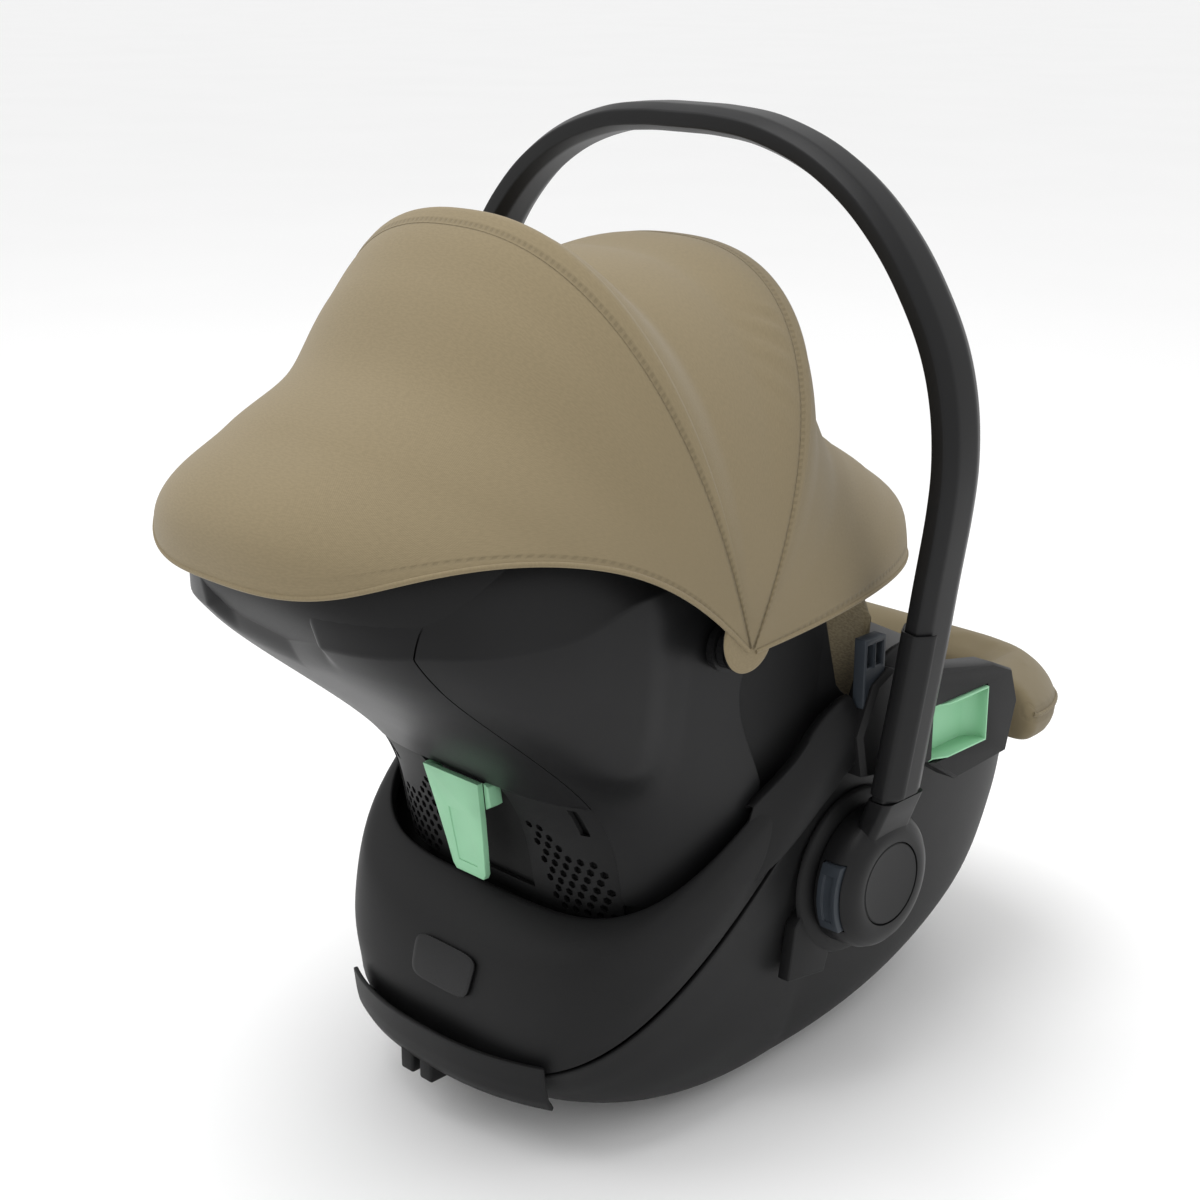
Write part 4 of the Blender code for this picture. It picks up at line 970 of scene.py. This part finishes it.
INNER, SEAM, FACE, CAP, BORE = 0.1460, 0.1525, 0.1780, 0.0270, 0.0064
NECK_LEVELS = ((0.034, 0.0160, 0.0400, 0.1680), (0.048, 0.0170, 0.0392, 0.1730),
               (0.0612, 0.0176, 0.0388, 0.1779))
for side, sign in SIDES:
    drum = turned("drum", [(BORE, sign * INNER), (0.0560, sign * INNER), (0.0545, sign * (INNER + 0.0030)),
                           (0.0500, sign * (SEAM - 0.0014)), (0.0400, sign * (SEAM - 0.0004)),
                           (0.0400, sign * (INNER + 0.0026)), (BORE, sign * (INNER + 0.0026)),
                           (BORE, sign * INNER)])
    settle(rounded(drum, 0.0006, 2), f"hub_drum_{side}", "carrier", "shell_black", f"hub_housing_{side}")
    head = turned("head", [(BORE, sign * (SEAM + 0.0004)), (0.0460, sign * (SEAM + 0.0004)),
                           (0.0460, sign * (FACE - 0.0170)), (0.0452, sign * (FACE - 0.0105)),
                           (0.0430, sign * (FACE - 0.0058)), (0.0392, sign * (FACE - 0.0022)),
                           (0.0345, sign * (FACE - 0.0004)), (0.0315, sign * FACE), (CAP + 0.0006, sign * FACE),
                           (CAP + 0.0006, sign * (FACE - 0.006)), (BORE, sign * (FACE - 0.006)),
                           (BORE, sign * (SEAM + 0.0004))])
    neck = lofted("neck", [oblong(np.array([sign * x, 0, HUB_Z + z]), np.array([1.0, 0, 0]), wide, deep, 0.0050)
                           for z, wide, deep, x in NECK_LEVELS])
    boolean(head, neck, "UNION")
    boolean(head, arc_block(sign, 0.0352, 0.060, 0.0228, 0.1552, 0.1710))
    settle(rounded(head, 0.0007, 3, 40), f"hub_turning_head_{side}", "handle_assembly", "satin_black",
           f"hub_head_{side}", angle=30)
    cap = turned("cap", [(0, sign * (FACE - 0.0026)), (CAP, sign * (FACE - 0.0026)), (CAP, sign * (FACE - 0.0008)),
                         (CAP - 0.0010, sign * FACE), (CAP - 0.0060, sign * (FACE - 0.0004)),
                         (0, sign * (FACE - 0.0006))])
    settle(cap, f"hub_round_cap_{side}", "handle_assembly", "satin_black", f"hub_cap_{side}", angle=30)
    button = arc_block(sign, 0.0395, 0.0478, 0.0220, 0.1560, 0.1702)
    groove = arc_block(sign, 0.0468, 0.060, 0.0155, 0.1600, 0.1664)
    boolean(button, groove)
    settle(rounded(button, 0.0016, 4, 40), f"hub_button_{side}", f"release_button_{side}", "button_grey",
           f"release_button_{side}")
    for node in (f"pivot_pin_{side}", f"lock_ring_{side}", f"button_spring_{side}"):
        refinish(node, "steel")

# %% [markdown]
# Under each hub a gusset ties the drum to the base. It is a thin wedge, wide at the top.

# %% Add the gussets
for side, sign in SIDES:
    gusset = extruded("gusset", [(0.049, HUB_Z - 0.012), (0.058, HUB_Z - 0.020), (0.064, HUB_Z - 0.056),
                                 (0.028, HUB_Z - 0.062), (0.020, HUB_Z - 0.040), (0.035, HUB_Z - 0.030)],
                      sign * 0.1400, sign * 0.1490, "x")
    settle(rounded(gusset, 0.0012, 3), f"gusset_{side}", "carrier", "shell_black")

# %% [markdown]
# ## Handle
# The arch is one moulding with a faceted section: flat outer face, flat edges and chamfers
# between, each with a soft corner. Its line is smoothed through a few points of one half and
# mirrored, and the section is carried along it.


# %% Carry the section along the arch
def faceted(centre, out, thick, depth, facet=0.24, soft=0.14, count=4):
    """The eight-sided section with its corners rounded."""
    corners = [(0.5, 0.5 - facet), (0.5 - facet, 0.5), (facet - 0.5, 0.5), (-0.5, 0.5 - facet),
               (-0.5, facet - 0.5), (facet - 0.5, -0.5), (0.5 - facet, -0.5), (0.5, facet - 0.5)]
    ring = []
    for k, corner in enumerate(corners):
        before, after = np.array(corners[k - 1]), np.array(corners[(k + 1) % 8])
        corner = np.array(corner)
        start, end = corner + (before - corner) * soft, corner + (after - corner) * soft
        for u in np.linspace(0, 1, count):
            a, b = start * (1 - u) ** 2 + 2 * corner * u * (1 - u) + end * u * u
            ring.append(centre + out * thick * a + np.array([0, depth * b, 0]))
    return ring


GRIP_THICK, GRIP_DEEP = 0.0175, 0.0360
half = np.array(HANDLE_LINE)
share = np.linspace(0, 1, 110)
line = np.stack([even_curve(half[:, k], share) for k in (0, 1)], axis=-1)
line = np.concatenate([line, (line * [-1, 1])[-2::-1]])
rings = []
for i, (x, z) in enumerate(line):
    ahead = line[min(i + 1, len(line) - 1)] - line[max(i - 1, 0)]
    ahead = ahead / np.linalg.norm(ahead)
    if i in (0, len(line) - 1):
        ahead = np.array([0, 1.0 if i == 0 else -1.0])
    low = smooth(0.13, 0.062, z)
    rings.append(faceted(np.array([x, 0, HUB_Z + z]), np.array([ahead[1], 0, -ahead[0]]), GRIP_THICK,
                         GRIP_DEEP * (1 + 0.06 * low)))
arch = lofted("arch", rings)
settle(arch, "arch", "handle_assembly", "satin_black", "handle", angle=50)

# %% [markdown]
# The lower part of each leg has a sleeve over its rear half, which ends in a small step. It uses the
# leg's own section, made a little larger, and keeps only the points behind the middle.

# %% Sleeve the legs
SLEEVE_LOW, SLEEVE_HIGH, SLEEVE_SPLIT = 0.0655, 0.176, 0.0045
leg = line[:60]
for side, sign in SIDES:
    rings = []
    for height in np.linspace(SLEEVE_LOW, SLEEVE_HIGH, 40):
        x = np.interp(height, leg[:, 1], leg[:, 0])
        ahead = np.array([np.interp(height + 0.002, leg[:, 1], leg[:, 0]) - x, 0.002])
        ahead /= np.linalg.norm(ahead)
        out = np.array([ahead[1], 0, -ahead[0]])
        ring = faceted(np.array([x, 0, HUB_Z + height]), out, 0.0202, 0.0387, facet=0.27)
        rings.append([point * [sign, 1, 1] for point in ring if point[1] > SLEEVE_SPLIT])
    strip = walled(net("strip", rings if sign < 0 else rings[::-1]), 0.0012)
    settle(rounded(strip, 0.0004, 2, EDGE_ANGLE), f"leg_strip_{side}", "handle_assembly", "satin_black",
           f"leg_insert_{side}")

# %% [markdown]
# ## Canopy
# The hood is one cloth over two bows and a wired front edge. Cloth between two bows pulls in, so
# its outline rises to a ridge at each bow and dips between. Its front edge flares out into a peak
# and turns down again. Each cross section is a squared oval that shrinks to the canopy's pivots.

# %% Shape the hood
REAR_EDGE, REAR_BOW, FRONT_BOW, VISOR_EDGE = 76, 14, -31, -91
RIB_ANGLES = [-96, -90, -84, -77, -68, -58, -45, -31, -15, 2, 14, 25, 40, 55, 70, 77]
RIB_REACH = [0.262, 0.272, 0.269, 0.242, 0.211, 0.194, 0.200, 0.236, 0.211, 0.206, 0.241, 0.224, 0.205, 0.225,
             0.256, 0.247]
HOOD_HALF_WIDTH, HOOD_SQUARE = 0.168, 2.35
CLOTH, FOLD_DEPTH, FOLD_PITCH = 0.0016, 0.0011, 6.5


def hood(angle, around, inward=0.0):
    """A point on the hood: angle behind vertical, around from 0 at +X to 180 at -X, in degrees."""
    angle, around = np.broadcast_arrays(np.asarray(angle, float), np.asarray(around, float))
    bend = 2 / HOOD_SQUARE
    c, s = np.cos(np.radians(around)), np.abs(np.sin(np.radians(around)))
    bows = sum(0.0018 * np.exp(-(((angle - bow) / 1.3) ** 2)) for bow in (REAR_BOW, FRONT_BOW))
    flank = smooth(0.50, 0.60, np.abs(c)) * smooth(0.92, 0.78, np.abs(c))
    near = smooth(-28.3, -25.5, angle) * smooth(-13, -24, angle) * flank
    slant = np.degrees(np.arccos(np.abs(c))) - 0.9 * (angle + 28)
    folds = FOLD_DEPTH * near * np.sin(2 * math.pi * slant / FOLD_PITCH)
    reach = (peaked_curve(RIB_ANGLES, RIB_REACH, angle) + bows + folds - inward) * s**bend
    turn = np.radians(angle)
    return np.stack([(HOOD_HALF_WIDTH - inward) * power(c, bend), PIVOT_Y + reach * np.sin(turn),
                     PIVOT_Z + reach * np.cos(turn)], axis=-1)


def stations(count):
    """Places along a rib, evenly spaced, that leave the pivot clear at both ends."""
    start = math.degrees(math.asin((0.0035 / 0.24) ** (HOOD_SQUARE / 2)))
    fine = np.linspace(start, 180 - start, 2000)
    run = run_along(hood(0, fine))
    return np.interp(np.linspace(0, run[-1], count), run, fine)


def sideways(around):
    """0 on the centre line and 1 at the pivots."""
    return np.abs(np.cos(np.radians(around))) ** (2 / HOOD_SQUARE)


def rear_hem(side):
    return REAR_EDGE - 30 * side**3.6


def front_hem(side):
    return VISOR_EDGE + 3 * side**3


def straight(angle):
    """An edge at one angle all the way round."""
    return lambda side: np.full_like(side, angle)


# %% [markdown]
# Three sections of cloth meet at the bows. A narrow band is sewn over each bow, as on the real
# hood, and covers the place where two sections meet. The attribute called seam holds the distance
# to the nearest sewn line, for the stitches and the painted shade along it.


# %% Cut and sew the cloth
HEM_INSET, BAND_INSET, GORE_TAPER, UNSEWN = 2.2, 2.6, 0.62, 1.0


def mark_seam(piece, distance):
    """Stores how far each point is from a sewn line."""
    values = np.ascontiguousarray(np.broadcast_to(distance, len(piece.data.vertices)), np.float32)
    piece.data.attributes.new("seam", "FLOAT", "POINT").data.foreach_set("value", values)


def sewn(piece, *lines):
    """Marks each point's distance from the nearest line, each a function of sideways."""
    points = coordinates(piece)
    y, z = points[:, 1] - PIVOT_Y, points[:, 2] - PIVOT_Z
    turn = np.degrees(np.arctan2(y, z))
    side = np.clip(np.abs(points[:, 0]) / HOOD_HALF_WIDTH, 0, 1)
    far = np.min([np.abs(np.radians(turn - line(side))) * np.hypot(y, z) for line in lines], axis=0)
    mark_seam(piece, far)


def hood_section(name, front, back, rows):
    around = stations(180)
    side = sideways(around)
    share = np.linspace(1, 0, rows)[:, None]
    low, high = front(side), back(side)
    piece = net(name, hood(low + (high - low) * share, around))
    flat = sum(face.area for face in piece.data.polygons)
    span = float(run_along(hood(0, around))[-1])
    walled(piece, CLOTH)
    sewn(piece, lambda side: rear_hem(side) - HEM_INSET, lambda side: front_hem(side) + BAND_INSET,
         straight(REAR_BOW + BAND_INSET), straight(FRONT_BOW + BAND_INSET))
    return piece, flat, span


def bow_point(angle):
    return hood(angle, 90)


def blended(piece, name, finish, bodies, start, end, *stands_for):
    """The last step for cloth: its shading and finish, with its frame parts hidden. It is attached to no body."""
    only(piece)
    bpy.ops.object.shade_smooth_by_angle(angle=math.radians(50))
    piece.name = name
    piece.data.materials.clear()
    piece.data.materials.append(LOOKS[finish])
    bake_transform(piece)
    if stands_for:
        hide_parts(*stands_for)
    print(f"{name}: {len(piece.data.polygons)} faces")


SECTIONS = (
    ("hood_rear", straight(REAR_BOW + 0.1), rear_hem, 70, ("carrier", "rear_bow_section"),
     REAR_EDGE, REAR_BOW, "canopy_rear", ["rear_bow", "head_centre"]),
    ("hood_middle", straight(FRONT_BOW + 0.1), straight(REAR_BOW - 0.1), 56,
     ("rear_bow_section", "front_bow_section"), REAR_BOW, FRONT_BOW, "canopy_middle", ["rear_bow", "front_bow"]),
    ("hood_visor", front_hem, straight(FRONT_BOW - 0.1), 66, ("front_bow_section", "visor_section"),
     FRONT_BOW, VISOR_EDGE, "canopy_visor", ["front_bow", "visor_edge_wire"]),
)
for name, front, back, rows, bodies, start, end, node, held_by in SECTIONS:
    cloth, flat_area, span = hood_section(name, front, back, rows)
    blended(cloth, name, "khaki_canopy", bodies, bow_point(start), bow_point(end), node)


def tube(name, points, radius, sides=8):
    """A round tube along a line of points."""
    ahead = np.gradient(points, axis=0)
    ahead /= np.linalg.norm(ahead, axis=1)[:, None]
    first = np.cross(ahead, [0.0, 0.31, 0.95])
    first /= np.linalg.norm(first, axis=1)[:, None]
    second = np.cross(ahead, first)
    turn = np.linspace(0, 2 * math.pi, sides, endpoint=False)[None, :, None]
    spokes = np.cos(turn) * first[:, None] + np.sin(turn) * second[:, None]
    return lofted(name, points[:, None] + radius * spokes)


around = stations(160)
side = sideways(around)
for name, line, bodies, start, end in (
        ("rear_hem", hood(rear_hem(side) - 0.2, around, 0.0006), ("carrier", "rear_bow_section"), REAR_EDGE,
         REAR_BOW),
        ("visor_hem", hood(front_hem(side) + 0.2, around, 0.0006), ("front_bow_section", "visor_section"),
         FRONT_BOW, VISOR_EDGE)):
    hem = tube(name, line, 0.0016)
    mark_seam(hem, UNSEWN)
    blended(hem, name, "khaki_canopy", bodies, bow_point(start), bow_point(end))
wire = tube("wire", hood(front_hem(side) + 1.2, around, 0.0045), 0.0013)
settle(wire, "visor_edge_wire", "visor_section", "steel", "visor_wire")

# %% [markdown]
# The band over each bow is a thin strip, highest over the bow itself. At the pivots, the hood ends
# in a rounded lobe of cloth on each side. It stays with the carrier.


# %% Sew the bands and the corner patches
def bow_band(name, bow, body):
    around = stations(180)
    share = np.linspace(1, 0, 16)[:, None]
    lift = 0.0003 + 0.0008 * smooth(0, 0.2, share) * smooth(1, 0.8, share)
    strip = walled(net(name, hood(bow - 1.6 + 4.4 * share, around, -lift)), 0.0007)
    sewn(strip, straight(bow + 2.3))
    settle(strip, name, body, "khaki_canopy", angle=60)


bow_band("rear_bow_band", REAR_BOW, "rear_bow_section")
bow_band("front_bow_band", FRONT_BOW, "front_bow_section")
TIP_RADIUS, TIP_RISE, TIP_LEAN = 0.0205, 0.0090, 0.05
turn = np.linspace(0, 2 * math.pi, 96, endpoint=False)
for side_name, sign in SIDES:
    rings = []
    for share, x in ((0.1, 0.1677), (0.8, 0.1677), (0.93, 0.1676), (0.98, 0.1672), (1, 0.1665), (0.98, 0.1658),
                     (0.9, 0.1655), (0.3, 0.1655)):
        up = TIP_RISE + share * TIP_RADIUS * np.cos(turn)
        back = 0.001 + share * TIP_RADIUS * np.sin(turn)
        rings.append(np.stack([sign * (x - TIP_LEAN * np.maximum(up, 0)), PIVOT_Y + back, PIVOT_Z + up], axis=-1))
    patch = lofted("patch", rings)
    mark_seam(patch, UNSEWN)
    settle(patch, f"hood_corner_{side_name}", "carrier", "khaki_canopy", angle=60)
    refinish(f"canopy_pivot_{side_name}", "satin_black")
for node in ("rear_bow", "front_bow"):
    refinish(node, "satin_black")

# %% [markdown]
# ## Seat cover
# The padded cover lies on the foam, turns over the liner's rim and goes down outside it, so that
# from behind one side wing shows between the shell and the belt guide. It is drawn in one net,
# from the floor up inside, round the rim in a half circle, and down outside.

# %% Make the cover and its foam
FOAM, COVER = 0.014, 0.008
seat_columns = 200
seat_angles = evenly(SEAT, 0.9, 0, 360, seat_columns + 1)[:-1]
inner_face = [on_shell(SEAT, t, seat_angles, FOAM + COVER) for t in np.linspace(0.16, 1, 60)]
outer_face = [on_shell(SEAT, t, seat_angles, -0.0022) for t in np.linspace(1, 0.62, 30)]
top_in, top_out = inner_face[-1], outer_face[0]
middle, arm = (top_in + top_out) / 2, (top_in - top_out) / 2
rise = np.linalg.norm(arm, axis=1, keepdims=True) * np.array([0, 0, 1.0])
roll = [middle + arm * math.cos(turn) + rise * math.sin(turn) for turn in np.linspace(0, math.pi, 14)[1:-1]]
quilt = net("quilt", inner_face + roll + outer_face, ring=True)
closed_floor(quilt, seat_columns)
walled(quilt, 0.0040)
# Painted shade: the quilting channels go into the seam attribute, and the fabric darkens them.
height = np.clip((coordinates(quilt)[:, 2] - 0.10) / 0.25, 0, 1)
channel = np.abs(((height * 4) % 1) - 0.5) * 0.04
mark_seam(quilt, channel + 0.0015)
settle(quilt, "quilted_cover", "carrier", "khaki_melange", "seat_cover", angle=60)
refinish("foam_liner", "foam_grey")

# %% [markdown]
# ## Pads
# A pad is a closed skin that is blown up like a cushion: the skin is remeshed into even squares,
# cloth physics pushes it outwards for a few frames, and the push is limited so that the pad stays
# in its place. Its sewn lines are drawn darker as painted shade; only the foot roll gets a piping cord.


# %% Fill a pad
PAD_CAP = 0.004


def filled(piece, cap, voxel=0.005):
    """Swells a closed skin, no point further than cap."""
    modify(piece, "REMESH", mode="VOXEL", voxel_size=voxel)
    rest = coordinates(piece)
    cloth = piece.modifiers.new("Cloth", "CLOTH")
    cloth.settings.use_pressure = True
    cloth.settings.uniform_pressure_force = 4
    cloth.settings.effector_weights.gravity = 0
    for step in range(1, 21):
        bpy.context.scene.frame_set(step)
    grown = piece.evaluated_get(bpy.context.evaluated_depsgraph_get()).data.vertices
    push = np.array([vertex.co for vertex in grown]) - rest
    length = np.linalg.norm(push, axis=1, keepdims=True)
    push *= np.minimum(1, cap / np.maximum(length, 1e-9))
    piece.modifiers.remove(cloth)
    piece.data.vertices.foreach_set("co", (rest + push).ravel())
    bpy.context.scene.frame_set(1)
    modify(piece, "SUBSURF", levels=1, render_levels=1)
    return piece


def dressed_pad(piece, name, body, node, cap, distance):
    filled(piece, cap)
    mark_seam(piece, distance(coordinates(piece)))
    settle(piece, name, body, "khaki_melange", node, angle=60)


def from_frame(node, shrink=0.0015):
    """A closed skin with the frame part's own shape, a little smaller, for filling."""
    piece = joined_copy(node)
    bpy.ops.transform.shrink_fatten(value=-shrink)
    bpy.ops.object.mode_set(mode="OBJECT")
    return modify(piece, "SUBSURF", levels=1, render_levels=1)


def middle_line(points):
    return np.abs(points[:, 0]) + 0.0015


for node, body in (("headrest", "headrest"), ("seat_cushion", "carrier")):
    dressed_pad(from_frame(node), f"{node}_pad", body, node, PAD_CAP, middle_line)
for side_name, sign in SIDES:
    node = f"shoulder_pad_{side_name}"
    centre_x = sum(corner.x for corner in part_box(node)) / 2
    dressed_pad(from_frame(node, 0.0008), f"strap_{node}", "carrier", node, 0.0025,
                lambda points: np.abs(np.abs(points[:, 0] - centre_x) - 0.016) + 0.0004)

# %% [markdown]
# The foot roll hangs over the shell's foot rim. Its corners are squarer than the shell's, and its
# outer side droops, because it is soft and nothing holds it there. Its piping is laid on the filled
# pad: each point of its line moves to the nearest point of the pad, and the line is then evened out.

# %% Make the foot roll
ROLL_OUT, ROLL_HALF, ROLL_RISE, ROLL_SQUARE, ROLL_DROOP = 0.010, 0.029, 0.022, 0.42, 0.0110


def roll_frame(angle):
    """Centre of the roll and its outward direction, at an angle round the foot end."""
    def plan(at):
        c, s = math.cos(math.radians(at)), math.sin(math.radians(at))
        return np.array([0.136 * power(c, ROLL_SQUARE), 0.030 - 0.276 * abs(s) ** ROLL_SQUARE, 0.0])

    ahead = plan(angle + 0.5) - plan(angle - 0.5)
    away = np.array([ahead[1], -ahead[0], 0]) / np.linalg.norm(ahead)
    level = on_shell(TUB, 1.0, angle)[2]
    return plan(angle) + away * ROLL_OUT + np.array([0, 0, level + 0.007]), away


rings, piping = [], []
spots = -90 + 63 * np.sin(np.radians(np.linspace(-90, 90, 64)))
for i, angle in enumerate(spots):
    centre, away = roll_frame(float(angle))
    end = min(1.0, 0.45 + 0.14 * min(i, len(spots) - 1 - i))
    turn = np.linspace(0, 2 * math.pi, 30, endpoint=False)
    out = power(np.cos(turn), 0.7) * ROLL_HALF * (0.6 + 0.4 * end)
    lift = power(np.sin(turn), 0.85) * ROLL_RISE * end - ROLL_DROOP * smooth(-0.4, 1, np.cos(turn))
    rings.append(centre + out[:, None] * away + np.outer(lift, [0, 0, 1]))
    piping.append(centre + away * (ROLL_HALF - 0.0002) * (0.6 + 0.4 * end) - np.array([0, 0, 0.0040 * end]))


def edge_distance(points):
    line = np.array(piping)
    return np.abs(np.min(np.linalg.norm(points[:, None] - line[None], axis=2), axis=1) - 0.006)


dressed_pad(lofted("roll", rings), "foot_roll", "carrier", "foot_pad", PAD_CAP, edge_distance)
pad = bpy.data.objects["foot_roll"]
cord_line = []
for point in piping[3:-3]:
    found, spot, normal, face = pad.closest_point_on_mesh(Vector(point))
    cord_line.append(spot + normal * 0.0004)
cord_line = np.array(cord_line)
cord_line[1:-1] = (cord_line[:-2] + 2 * cord_line[1:-1] + cord_line[2:]) / 4
trim = tube("trim", cord_line, 0.0016)
mark_seam(trim, UNSEWN)
settle(trim, "foot_roll_piping", "carrier", "khaki_melange", angle=60)

# %% [markdown]
# ## Harness
# The straps are flat webbing. Their frame parts already follow the seat, so they are copied with
# rounded edges and given a woven finish. The buckle, its red key and the adjuster are small
# mouldings with soft corners.

# %% Dress the harness
for side_name, sign in SIDES:
    strap = copied(f"shoulder_strap_{side_name}", 0.0004, 2)
    settle(strap, f"harness_strap_{side_name}", "carrier", "webbing_grey", f"shoulder_strap_{side_name}")
    refinish(f"tongue_{side_name}", "steel")
refinish("crotch_strap", "webbing_grey")
for node, name, body, finish, radius in (
        ("buckle", "buckle_body", "carrier", "shell_black", 0.0012),
        ("buckle_button", "buckle_key", "buckle_button", "buckle_red", 0.0008),
        ("harness_adjuster", "adjuster_body", "carrier", "shell_black", 0.0008),
        ("adjuster_button", "adjuster_key", "adjuster_button", "button_grey", 0.0008)):
    settle(copied(node, radius, 3), name, body, finish, node)

# %% [markdown]
# ## Floor
# A large pale floor catches a faint shadow, so that the seat stands on something.

# %% Lay the floor and finish
bpy.ops.object.select_all(action="DESELECT")
bpy.ops.mesh.primitive_plane_add(size=60, location=(0, 0, -0.0006))
floor = bpy.context.object
floor.name = "floor"
paper = Look("pale_floor", 0.9)
paper.set("Base Color", paper.blend(paper.noise(0.6), (0.93, 0.93, 0.93), (0.96, 0.96, 0.96)))
floor.data.materials.append(paper.material)
